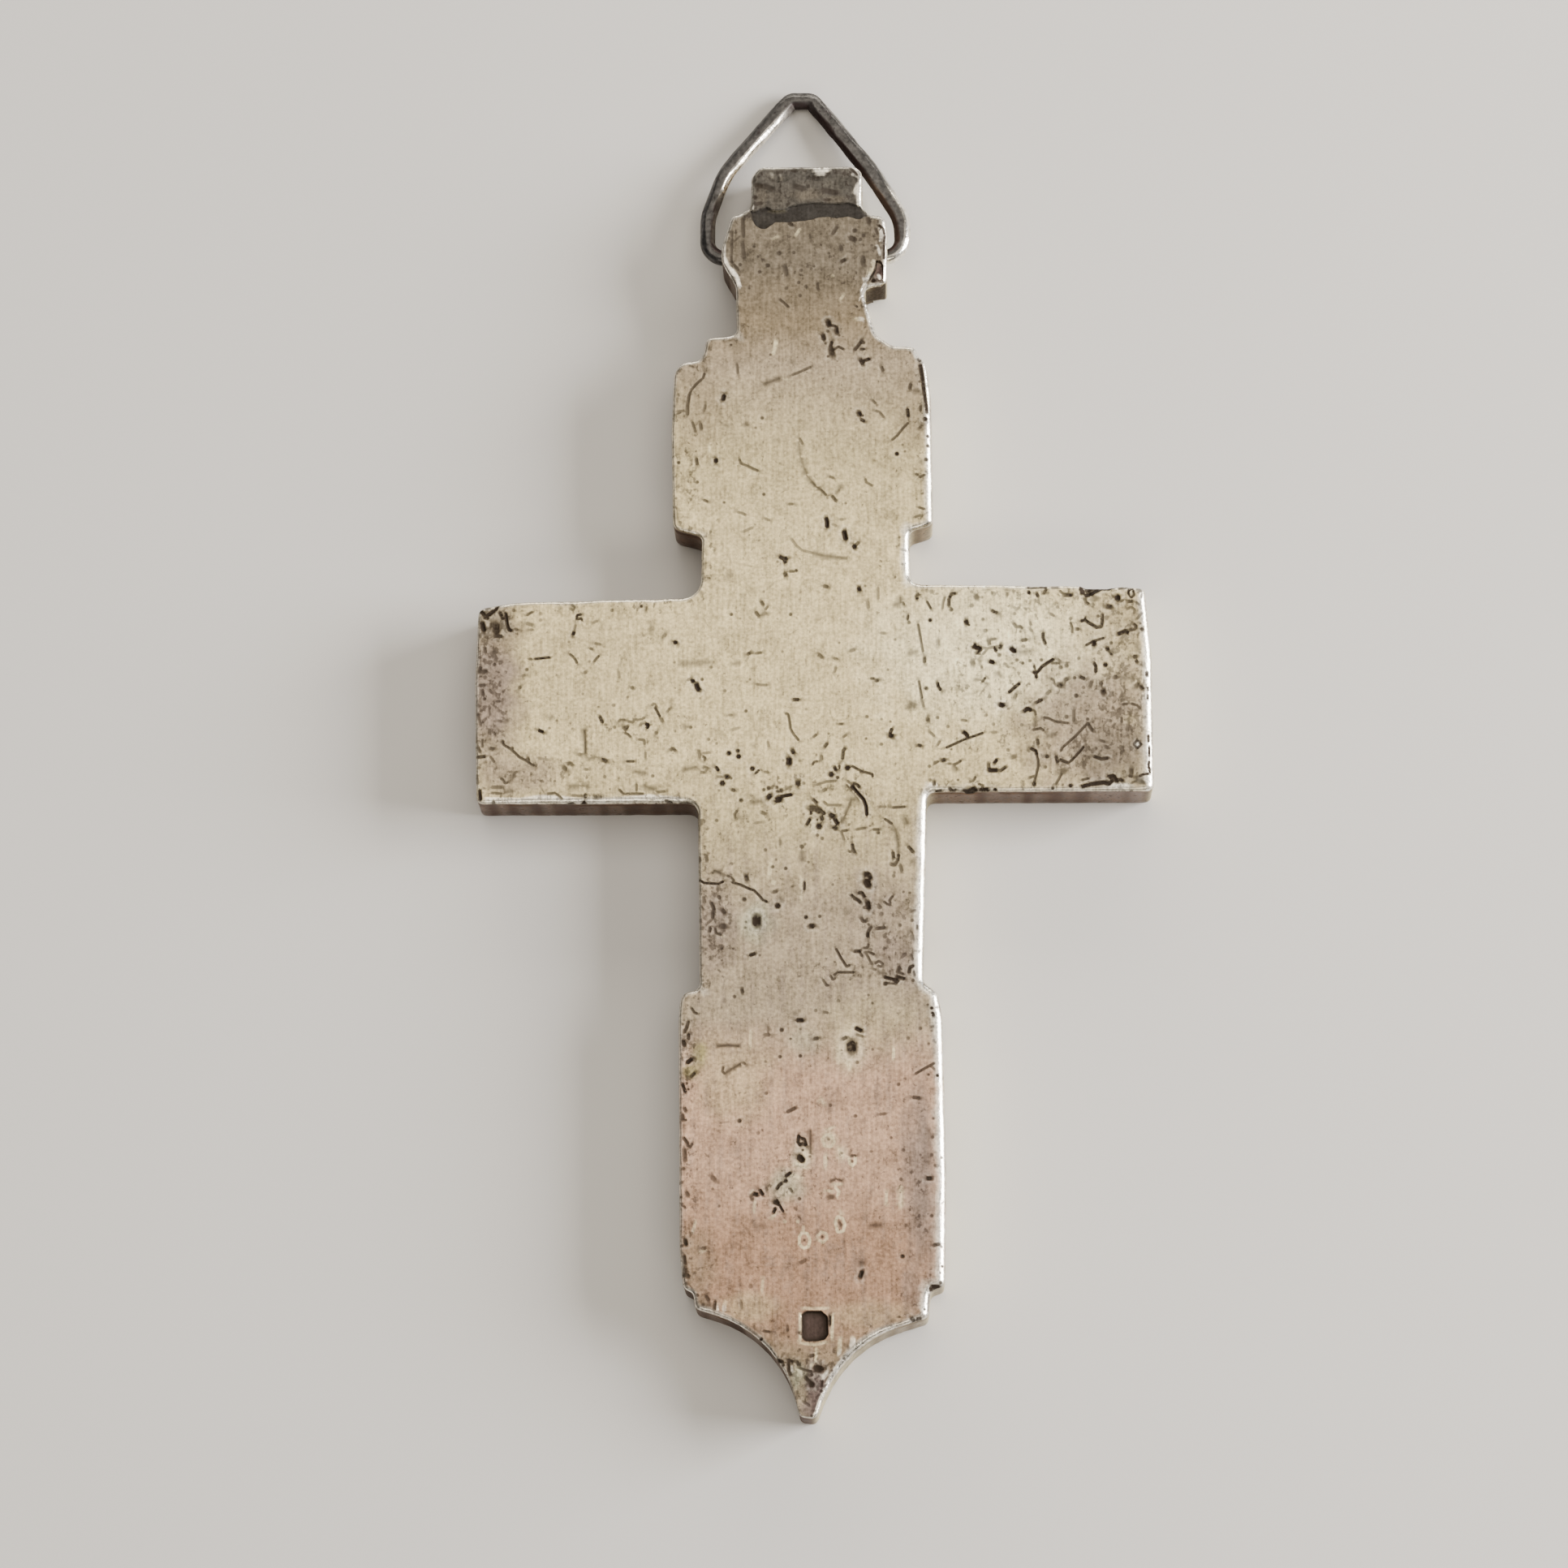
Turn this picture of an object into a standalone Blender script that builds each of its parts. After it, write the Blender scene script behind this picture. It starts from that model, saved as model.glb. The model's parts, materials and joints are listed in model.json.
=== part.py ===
"""Orthodox cross pendant: a heavy silver pectoral cross with a triangular hanging ring.

The cross lies on its front, so +Z is its back, +Y its head and X runs across it.
The origin is on the surface under it, in the middle of the whole pendant.
All lengths are in metres.
"""
import math
from collections import namedtuple

import bmesh
import bpy
from mathutils import Matrix, Vector
from mathutils.geometry import delaunay_2d_cdt

# Lengths of the zones of the cross, from the top of its tab down to its tip
TAB_LENGTH = 0.00310
LUG_LENGTH = 0.00440
NECK_LENGTH = 0.00315
UPPER_LENGTH = 0.01195
WAIST_LENGTH = 0.00375
ARM_HEIGHT = 0.01260
SHAFT_LENGTH = 0.01150
LOWER_LENGTH = 0.01750
FOOT_LENGTH = 0.00755

# Widths of the same zones
TAB_WIDTH = 0.00670
LUG_WIDTH = 0.00975
NECK_WIDTH = 0.00760
STEP_WIDTH = 0.01280
UPPER_WIDTH = 0.01550
WAIST_WIDTH = 0.01240
ARM_SPAN = 0.04010
SHAFT_WIDTH = 0.01340
LOWER_WIDTH = 0.01540
FOOT_WIDTH = 0.01380
TIP_WIDTH = 0.00098

# Depths
THICKNESS = 0.00400
PLATE_THICKNESS = 0.00045
TAB_DROP = 0.00035
BACK_WEAR = 0.00018
FRONT_WEAR = 0.00025
LUG_ROUND = 0.00060
LUG_GROOVE = 0.00010

# Corner radius that the fillet columns below are shares of
CORNER_RADIUS = 0.00050
FOOT_SWEEP_RADIUS = 0.00700
ARC_STEP = math.radians(18)
ARC_CHORD = 0.00110

# The share of a wall that its two fillets may fill, and of a fillet that an inset may take
WALL_SHARE = 0.96
INSET_SHARE = 0.90

# Caps are filled in this unit, in which their smallest edges are still well apart
CAP_UNIT = 0.001

# A blank punched square near the foot
PUNCH_SIZE = 0.00162
PUNCH_RADIUS = 0.00028
PUNCH_DEPTH = 0.00020
PUNCH_DOWN = 0.28

# Hanging ring: round wire, bent to a triangle and closed through the lug
WIRE = 0.00095
BORE_CLEARANCE = 0.00030
SIDE_GAP = 0.00052
TAB_GAP = 0.00036
CHAIN_GAP = 0.00475
RING_SHIFT = -0.00053
RING_BEND = 0.00120
WIRE_RESOLUTION = 4
BORE_SIDES = 20
CUT_OVERRUN = 0.00200

# Lengths that follow from those above; the ring lies with its crown on the surface
ZONES = {
    "tab": TAB_LENGTH,
    "lug": LUG_LENGTH,
    "neck": NECK_LENGTH,
    "upper": UPPER_LENGTH,
    "waist": WAIST_LENGTH,
    "arms": ARM_HEIGHT,
    "shaft": SHAFT_LENGTH,
    "lower": LOWER_LENGTH,
    "foot": FOOT_LENGTH,
}
CROSS_LENGTH = sum(ZONES.values())
BORE_RADIUS = WIRE / 2 + BORE_CLEARANCE
PIVOT_DOWN = TAB_LENGTH + LUG_LENGTH / 2
PIVOT_HEIGHT = THICKNESS / 2
RING_LENGTH = PIVOT_DOWN + CHAIN_GAP + WIRE / 2
RING_TILT = math.asin((PIVOT_HEIGHT - WIRE / 2) / RING_LENGTH)
RING_REACH = RING_LENGTH * math.cos(RING_TILT) + WIRE / 2
PENDANT_LENGTH = CROSS_LENGTH + RING_REACH - PIVOT_DOWN
TAB_TOP_Y = PENDANT_LENGTH / 2 - (RING_REACH - PIVOT_DOWN)
PIVOT_Y = TAB_TOP_Y - PIVOT_DOWN

# The outline of the cross, a row for each pair of corners from the lug down to the tip.
# Its left and right sides were finished by hand and differ a little. down is a share of
# the zone's length, out a share of the named width, fillet a share of the corner radius.
Corner = namedtuple("Corner", "zone width left_down left_out left_fillet right_down right_out right_fillet")
OUTLINE = (
    Corner("lug", LUG_WIDTH, 0.00, 0.501, 0.8, 0.02, 0.447, 1.0),
    Corner("lug", LUG_WIDTH, 0.50, 0.570, 3.0, 0.30, 0.457, 1.0),
    Corner("lug", LUG_WIDTH, 0.69, 0.566, 2.0, 1.00, 0.456, 0.6),
    Corner("neck", NECK_WIDTH, 0.06, 0.613, 1.2, 0.07, 0.386, 0.8),
    Corner("neck", NECK_WIDTH, 0.98, 0.605, 0.5, 1.01, 0.500, 0.7),
    Corner("upper", STEP_WIDTH, 0.01, 0.502, 0.6, 0.055, 0.371, 0.8),
    Corner("upper", STEP_WIDTH, 0.09, 0.512, 0.8, 0.06, 0.475, 0.5),
    Corner("upper", STEP_WIDTH, 0.13, 0.535, 0.5, 0.12, 0.490, 0.6),
    Corner("upper", UPPER_WIDTH, 0.13, 0.538, 2.0, 0.13, 0.434, 0.8),
    Corner("upper", UPPER_WIDTH, 0.53, 0.548, 8.0, 0.33, 0.454, 8.0),
    Corner("upper", UPPER_WIDTH, 1.00, 0.541, 0.9, 0.98, 0.460, 0.8),
    Corner("waist", WAIST_WIDTH, 0.12, 0.537, 0.5, 0.05, 0.460, 0.5),
    Corner("arms", WAIST_WIDTH, 0.03, 0.541, 2.2, -0.03, 0.465, 1.2),
    Corner("arms", ARM_SPAN, 0.05, 0.446, 4.0, -0.02, 0.357, 4.0),
    Corner("arms", ARM_SPAN, 0.08, 0.497, 0.9, -0.01, 0.490, 0.6),
    Corner("arms", ARM_SPAN, 0.46, 0.501, 9.0, 0.34, 0.499, 9.0),
    Corner("arms", ARM_SPAN, 1.02, 0.497, 0.6, 0.97, 0.500, 0.7),
    Corner("arms", SHAFT_WIDTH, 1.02, 0.511, 1.1, 0.97, 0.500, 0.6),
    Corner("shaft", SHAFT_WIDTH, 0.99, 0.502, 0.7, 0.95, 0.478, 0.8),
    Corner("lower", LOWER_WIDTH, 0.00, 0.508, 1.4, 0.00, 0.469, 0.7),
    Corner("lower", LOWER_WIDTH, 0.09, 0.516, 4.0, 0.09, 0.488, 4.0),
    Corner("lower", LOWER_WIDTH, 0.87, 0.509, 9.0, 0.62, 0.499, 9.0),
    Corner("lower", LOWER_WIDTH, 1.00, 0.495, 0.6, 0.99, 0.493, 0.6),
    Corner("foot", FOOT_WIDTH, 0.02, 0.511, 0.4, 0.01, 0.490, 0.4),
    Corner("foot", FOOT_WIDTH, 0.15, 0.504, 0.5, 0.22, 0.480, 0.5),
)

# The foot sweeps in along an arc on each side to a short blunt tip
FOOT_ROOT = Corner("foot", FOOT_WIDTH, 0.34, 0.129, None, 0.41, 0.129, None)
FOOT_TIP = Corner("foot", TIP_WIDTH, 0.98, 0.918, 0.5, 1.00, 0.082, 0.6)

# The tab above the lug, which flares where it meets the lug and runs on inside it
TAB_OUTLINE = (
    Corner("tab", TAB_WIDTH, 0.00, 0.482, 0.7, 0.00, 0.387, 0.8),
    Corner("tab", TAB_WIDTH, 0.20, 0.561, 0.7, 0.14, 0.443, 0.8),
    Corner("tab", TAB_WIDTH, 0.84, 0.561, 1.0, 0.84, 0.437, 1.0),
    Corner("tab", TAB_WIDTH, 1.00, 0.660, 0.0, 1.00, 0.520, 0.0),
    Corner("tab", TAB_WIDTH, 1.28, 0.660, 0.0, 1.28, 0.520, 0.0),
)

# The back plate stops short of the lug's lower right corner along this edge
Ledge = namedtuple("Ledge", "down out")
LEDGE_EDGE = (Ledge(0.68, 0.376), Ledge(0.84, 0.338), Ledge(0.93, 0.309), Ledge(1.03, 0.298))

# The ring's wire centre, from the bore round over the crown: along is a share of the
# named reach from the bore's axis, out a share of the half width, left negative.
Bend = namedtuple("Bend", "reach along half out radius")
LUG_REACH = math.hypot(LUG_LENGTH / 2, THICKNESS / 2)
HIP_HALF = LUG_WIDTH / 2 + SIDE_GAP + WIRE / 2
KNEE_HALF = TAB_WIDTH / 2 + TAB_GAP + WIRE / 2
CROWN_HALF = 0.00090
RING_BENDS = (
    Bend(RING_LENGTH, 0.0, HIP_HALF, -1.003, 0.9),
    Bend(LUG_REACH, 0.88, HIP_HALF, -1.003, 2.5),
    Bend(PIVOT_DOWN, 1.04, KNEE_HALF, -1.176, 4.0),
    Bend(RING_LENGTH, 1.0, CROWN_HALF, -1.020, 0.5),
    Bend(RING_LENGTH, 1.0, CROWN_HALF, 0.480, 0.5),
    Bend(PIVOT_DOWN, 1.03, KNEE_HALF, 0.990, 5.0),
    Bend(LUG_REACH, 0.84, HIP_HALF, 1.000, 2.5),
    Bend(RING_LENGTH, 0.0, HIP_HALF, 1.000, 1.0),
)


def clear_scene():
    for old in list(bpy.data.objects):
        bpy.data.objects.remove(old, do_unlink=True)


def silver(name, colour, roughness):
    material = bpy.data.materials.new(name)
    material.use_nodes = True
    shader = material.node_tree.nodes["Principled BSDF"]
    shader.inputs["Base Color"].default_value = (*colour, 1.0)
    shader.inputs["Metallic"].default_value = 1.0
    shader.inputs["Roughness"].default_value = roughness
    material.diffuse_color = (*colour, 1.0)
    return material


def zone_y(zone, down):
    """Y of a point that lies the share down of the zone's length below the zone's top."""
    names = list(ZONES)
    above = sum(ZONES[name] for name in names[:names.index(zone)])
    return TAB_TOP_Y - above - down * ZONES[zone]


def side_points(rows, side):
    """Corners of one side of an outline, top to bottom, each with its fillet radius."""
    points = []
    for row in rows:
        if side == "left":
            place = (-row.left_out * row.width, zone_y(row.zone, row.left_down))
            fillet = row.left_fillet
        else:
            place = (row.right_out * row.width, zone_y(row.zone, row.right_down))
            fillet = row.right_fillet
        radius = FOOT_SWEEP_RADIUS if fillet is None else fillet * CORNER_RADIUS
        points.append((Vector(place), radius))
    return points


def both_sides(rows):
    """The corners of a whole outline, anticlockwise from its top left one."""
    return side_points(rows, "left") + side_points(rows, "right")[::-1]


def worn_layers(top):
    """Insets and heights of a plate from the surface under it up to top, its edges worn."""
    return ((FRONT_WEAR, 0.0), (0.0, FRONT_WEAR), (0.0, top - BACK_WEAR), (BACK_WEAR, top))


def tangent_lengths(corners):
    """How far each fillet reaches along its walls, shortened where two of them would meet."""
    count = len(corners)
    lengths = []
    for index, (place, radius) in enumerate(corners):
        before = (place - corners[index - 1][0]).normalized()
        after = (corners[(index + 1) % count][0] - place).normalized()
        turn = before.angle_signed(after, 0.0)
        lengths.append(radius * math.tan(abs(turn) / 2))
    factors = [1.0] * count
    for index in range(count):
        following = (index + 1) % count
        wall = (corners[following][0] - corners[index][0]).length
        wanted = lengths[index] + lengths[following]
        if wanted > WALL_SHARE * wall:
            factors[index] = min(factors[index], WALL_SHARE * wall / wanted)
            factors[following] = min(factors[following], WALL_SHARE * wall / wanted)
    return [length * factor for length, factor in zip(lengths, factors)]


def rounded_loop(corners):
    """The closed line through filleted corners, as points with their inward normals.

    The corners run anticlockwise. The second value is the smallest radius of an outer
    fillet, past which the line can't be moved inward.
    """
    count = len(corners)
    tangents = tangent_lengths(corners)
    loop = []
    smallest = math.inf
    for index, (place, _) in enumerate(corners):
        before = (place - corners[index - 1][0]).normalized()
        after = (corners[(index + 1) % count][0] - place).normalized()
        turn = -before.angle_signed(after, 0.0)
        inward_before = Vector((-before.y, before.x))
        inward_after = Vector((-after.y, after.x))
        tangent = tangents[index]
        if tangent < 1e-6 or abs(turn) < math.radians(0.5):
            mean = (inward_before + inward_after).normalized()
            loop.append((place, mean / mean.dot(inward_after)))
            continue
        radius = tangent / math.tan(abs(turn) / 2)
        sense = 1 if turn > 0 else -1
        centre = place - before * tangent + inward_before * radius * sense
        steps = max(2, math.ceil(abs(turn) / ARC_STEP), math.ceil(radius * abs(turn) / ARC_CHORD))
        for step in range(steps + 1):
            inward = inward_before.copy()
            inward.rotate(Matrix.Rotation(turn * step / steps, 2))
            loop.append((centre - inward * radius * sense, inward))
        if sense > 0:
            smallest = min(smallest, radius)
    return loop, smallest


def cap_triangles(places):
    """Triangles, as threes of indices, that fill a flat closed line of places."""
    flat = [Vector((place.x, place.y)) / CAP_UNIT for place in places]
    filled = delaunay_2d_cdt(flat, [], [list(range(len(flat)))], 1, 1e-6)
    return filled[2]


def prism(name, corners, layers):
    """A closed solid through copies of a rounded loop, each moved inward and up by its layer."""
    loop, smallest = rounded_loop(corners)
    bm = bmesh.new()
    rings = []
    for inset, height in layers:
        ring = []
        for place, inward in loop:
            point = place + inward * min(inset, INSET_SHARE * smallest)
            ring.append(bm.verts.new((point.x, point.y, height)))
        rings.append(ring)
    count = len(loop)
    for lower, upper in zip(rings, rings[1:]):
        for index in range(count):
            following = (index + 1) % count
            bm.faces.new((lower[index], lower[following], upper[following], upper[index]))
    for ring in (rings[0], rings[-1]):
        for triangle in cap_triangles([vert.co for vert in ring]):
            bm.faces.new([ring[corner] for corner in triangle])
    bmesh.ops.recalc_face_normals(bm, faces=bm.faces)
    mesh = bpy.data.meshes.new(name)
    bm.to_mesh(mesh)
    bm.free()
    solid = bpy.data.objects.new(name, mesh)
    bpy.context.collection.objects.link(solid)
    return solid


def as_cutter(solid):
    solid.hide_render = True
    solid.display_type = "WIRE"
    return solid


def boolean(solid, other, operation):
    modifier = solid.modifiers.new(f"{operation.lower()}_{other.name}", "BOOLEAN")
    modifier.operation = operation
    modifier.solver = "EXACT"
    modifier.object = other


def cross_slab():
    """The cross below its tab: front and back outlines with worn edges."""
    rows = OUTLINE + (FOOT_ROOT, FOOT_TIP)
    return prism("cross_body", both_sides(rows), worn_layers(THICKNESS))


def head_tab():
    """The tab, a little lower than the back plate."""
    return as_cutter(prism("tab_form", both_sides(TAB_OUTLINE), worn_layers(THICKNESS - TAB_DROP)))


def lug_round_cut(name, edge_y, inward):
    """What rounds off the lug's front along one edge; inward is +1 where the lug is above it."""
    centre = Vector((edge_y + inward * LUG_ROUND, LUG_ROUND))
    steps = math.ceil(math.pi / 2 / ARC_STEP)
    corners = []
    for step in range(steps + 1):
        angle = math.pi / 2 * step / steps
        corners.append(centre - Vector((inward * math.sin(angle), math.cos(angle))) * LUG_ROUND)
    groove = edge_y - inward * LUG_GROOVE
    corners.append(Vector((groove, LUG_ROUND)))
    corners.append(Vector((groove, -CUT_OVERRUN)))
    corners.append(Vector((centre.x, -CUT_OVERRUN)))
    if inward > 0:
        corners.reverse()
    half = LUG_WIDTH / 2 + CUT_OVERRUN
    cutter = prism(name, [(corner, 0.0) for corner in corners], ((0.0, -half), (0.0, half)))
    cutter.rotation_euler = (math.pi / 2, 0.0, math.pi / 2)
    return as_cutter(cutter)


def ledge_cut():
    """What the back plate leaves bare of the lug's lower right corner."""
    edge = [Vector((row.out * LUG_WIDTH, zone_y("lug", row.down))) for row in LEDGE_EDGE]
    outer = LUG_WIDTH / 2 + CUT_OVERRUN
    corners = [(point, 0.0) for point in edge]
    corners.append((Vector((outer, edge[-1].y)), 0.0))
    corners.append((Vector((outer, edge[0].y)), 0.0))
    layers = ((0.0, THICKNESS - PLATE_THICKNESS), (0.0, THICKNESS + PLATE_THICKNESS))
    return as_cutter(prism("ledge_cut", corners, layers))


def punch_cut():
    """A blank rounded square, punched into the back near the foot."""
    half = PUNCH_SIZE / 2
    middle = zone_y("foot", PUNCH_DOWN)
    signs = ((-1, -1), (1, -1), (1, 1), (-1, 1))
    corners = [(Vector((x * half, middle + y * half)), PUNCH_RADIUS) for x, y in signs]
    layers = ((0.0, THICKNESS - PUNCH_DEPTH), (0.0, THICKNESS + PUNCH_DEPTH))
    return as_cutter(prism("punch_cut", corners, layers))


def bore_cut():
    """The bore across the lug that the ring's wire runs through."""
    bm = bmesh.new()
    bmesh.ops.create_cone(
        bm,
        cap_ends=True,
        segments=BORE_SIDES,
        radius1=BORE_RADIUS,
        radius2=BORE_RADIUS,
        depth=LUG_WIDTH + 2 * CUT_OVERRUN,
    )
    mesh = bpy.data.meshes.new("bore_cut")
    bm.to_mesh(mesh)
    bm.free()
    cutter = bpy.data.objects.new("bore_cut", mesh)
    cutter.location = (RING_SHIFT, PIVOT_Y, PIVOT_HEIGHT)
    cutter.rotation_euler = (0.0, math.pi / 2, 0.0)
    bpy.context.collection.objects.link(cutter)
    return as_cutter(cutter)


def cross_body():
    """Slab, tab and back plate are soldered into one solid, then bored and punched."""
    body = cross_slab()
    boolean(body, head_tab(), "UNION")
    cutters = (
        lug_round_cut("lug_head_cut", zone_y("lug", 0.0), -1),
        lug_round_cut("lug_foot_cut", zone_y("lug", 1.0), 1),
        ledge_cut(),
        punch_cut(),
        bore_cut(),
    )
    for cutter in cutters:
        boolean(body, cutter, "DIFFERENCE")
    body.data.materials.append(silver("worn_silver", (0.66, 0.61, 0.54), 0.42))
    body.data.shade_smooth()
    body.data.set_sharp_from_angle(angle=math.radians(30))
    return body


def hanging_ring():
    """The closed wire ring, its origin on the bore's axis, laid down on its crown."""
    corners = []
    for bend in RING_BENDS:
        place = Vector((bend.out * bend.half, bend.along * bend.reach))
        corners.append((place, bend.radius * RING_BEND))
    corners.reverse()
    line = [place for place, _ in rounded_loop(corners)[0]]
    curve = bpy.data.curves.new("hanging_ring", "CURVE")
    curve.dimensions = "3D"
    curve.bevel_depth = WIRE / 2
    curve.bevel_resolution = WIRE_RESOLUTION
    curve.twist_mode = "Z_UP"
    spline = curve.splines.new("POLY")
    spline.points.add(len(line) - 1)
    for point, place in zip(spline.points, line):
        point.co = (place.x, place.y, 0.0, 1.0)
    spline.use_cyclic_u = True
    ring = bpy.data.objects.new("hanging_ring", curve)
    ring.location = (RING_SHIFT, PIVOT_Y, PIVOT_HEIGHT)
    ring.rotation_euler = (-RING_TILT, 0.0, 0.0)
    bpy.context.collection.objects.link(ring)
    curve.materials.append(silver("oxidised_silver", (0.26, 0.26, 0.28), 0.35))
    return ring


clear_scene()
cross_body()
hanging_ring()
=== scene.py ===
"""The looks of the orthodox cross pendant: worn silver, lying face down by a soft window.

Lengths are in millimetres, in the frame's own axes, until a piece is finished; only the
floor and the lights are given in metres. The marks on the back were charted from the
photograph, and are given in its pixels; on_plate turns such a pixel into a place on the
back of the cross.
"""

import json
import math
import random
from collections import defaultdict, namedtuple

import bmesh
import bpy
import numpy as np
from mathutils import Matrix, Vector, noise
from mathutils.geometry import delaunay_2d_cdt
from mathutils.kdtree import KDTree


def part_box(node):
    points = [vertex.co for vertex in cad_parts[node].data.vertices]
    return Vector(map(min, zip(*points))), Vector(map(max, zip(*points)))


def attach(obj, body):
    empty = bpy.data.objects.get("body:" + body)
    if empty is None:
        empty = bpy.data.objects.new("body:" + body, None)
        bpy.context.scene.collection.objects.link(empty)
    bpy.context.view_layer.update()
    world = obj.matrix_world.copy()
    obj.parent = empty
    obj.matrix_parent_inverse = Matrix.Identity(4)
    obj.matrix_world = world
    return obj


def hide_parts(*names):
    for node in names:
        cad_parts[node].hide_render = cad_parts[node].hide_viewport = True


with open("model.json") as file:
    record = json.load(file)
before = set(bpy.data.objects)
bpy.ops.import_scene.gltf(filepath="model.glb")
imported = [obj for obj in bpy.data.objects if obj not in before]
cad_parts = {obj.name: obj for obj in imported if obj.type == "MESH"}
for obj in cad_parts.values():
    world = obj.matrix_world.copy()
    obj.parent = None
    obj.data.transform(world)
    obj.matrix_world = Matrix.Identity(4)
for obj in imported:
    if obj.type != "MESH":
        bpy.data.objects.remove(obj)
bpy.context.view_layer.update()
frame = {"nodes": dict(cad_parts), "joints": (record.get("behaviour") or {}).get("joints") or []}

MM = 0.001
CROSS_NODE = frame["nodes"]["cross_body"]
LOW, HIGH = (Vector(corner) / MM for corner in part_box("cross_body"))
THICKNESS = HIGH.z
HINGE = Vector(frame["joints"][0]["pos_m"]) / MM

# The photograph is square, and its camera looks at the cross a little from below and right
PHOTO_SIDE = 1932
SENSOR = 36.0
LENS = 135.2
EYE_DISTANCE = 347.0
EYE_BELOW = math.radians(11.4)
EYE_RIGHT = math.radians(1.2)
LOOK_AT = Vector((-1.76, -3.12, THICKNESS))

# Where the cross is cut level to read its outline, below its worn edge
BODY_LEVEL = 3.20

# Spacing of the points on the back, in rows along its edge, on the walls and on the front
OUTLINE_STEP = 0.16
INSETS = (0.03, 0.07, 0.12, 0.18, 0.25, 0.33, 0.42, 0.53, 0.65)
INSET_SLACK = 0.012
MARK_STEP = 0.11
FINE_GAP = 0.038
ROW_GAP = 0.042
NET_STEP = 0.225
HEAD_NET_STEP = 0.15
HEAD_FOOT = 25.0
SEAM_LEVEL = 3.42
WALL_LEVELS = (3.47, SEAM_LEVEL, 3.37, 2.70, 1.80, 0.90)
WALL_DROP = 0.03
FRONT_ROUND = ((0.00, 0.25), (0.07, 0.07), (0.25, 0.00))
FRONT_STEP = 0.9

# The back lies this far below the solid's
BACK_SINK = 0.012

# The least distance that the back keeps from the solid's, and the ring from the floor
SKIN = 0.002

# How deep the seam, the worn edge and the marks go
SEAM_DEPTH = 0.03
DEEPEST_WEAR = 0.42
DEEPEST_MARK = 0.11

# The lug: its front is rounded along both edges, with a thin groove past them, and bored
LUG_TOP = HINGE.y + 2.20
LUG_FOOT = HINGE.y - 2.20
LUG_ROUND = 0.60
LUG_GROOVE = 0.10
LUG_ROUND_STEPS = 14
LUG_HALF = 7.0
BORE_HALF = 6.0
BORE_RADIUS = 0.775
BORE_SIDES = 48

# What every charted mark gains in width, in the photograph's pixels
WIDER = 0.05

# What is strewn at random: its seeds, and how many specks are tried
SPECK_SEED = 11
SPECKS_TRIED = 520
HAMMER_SEED = 5

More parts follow.
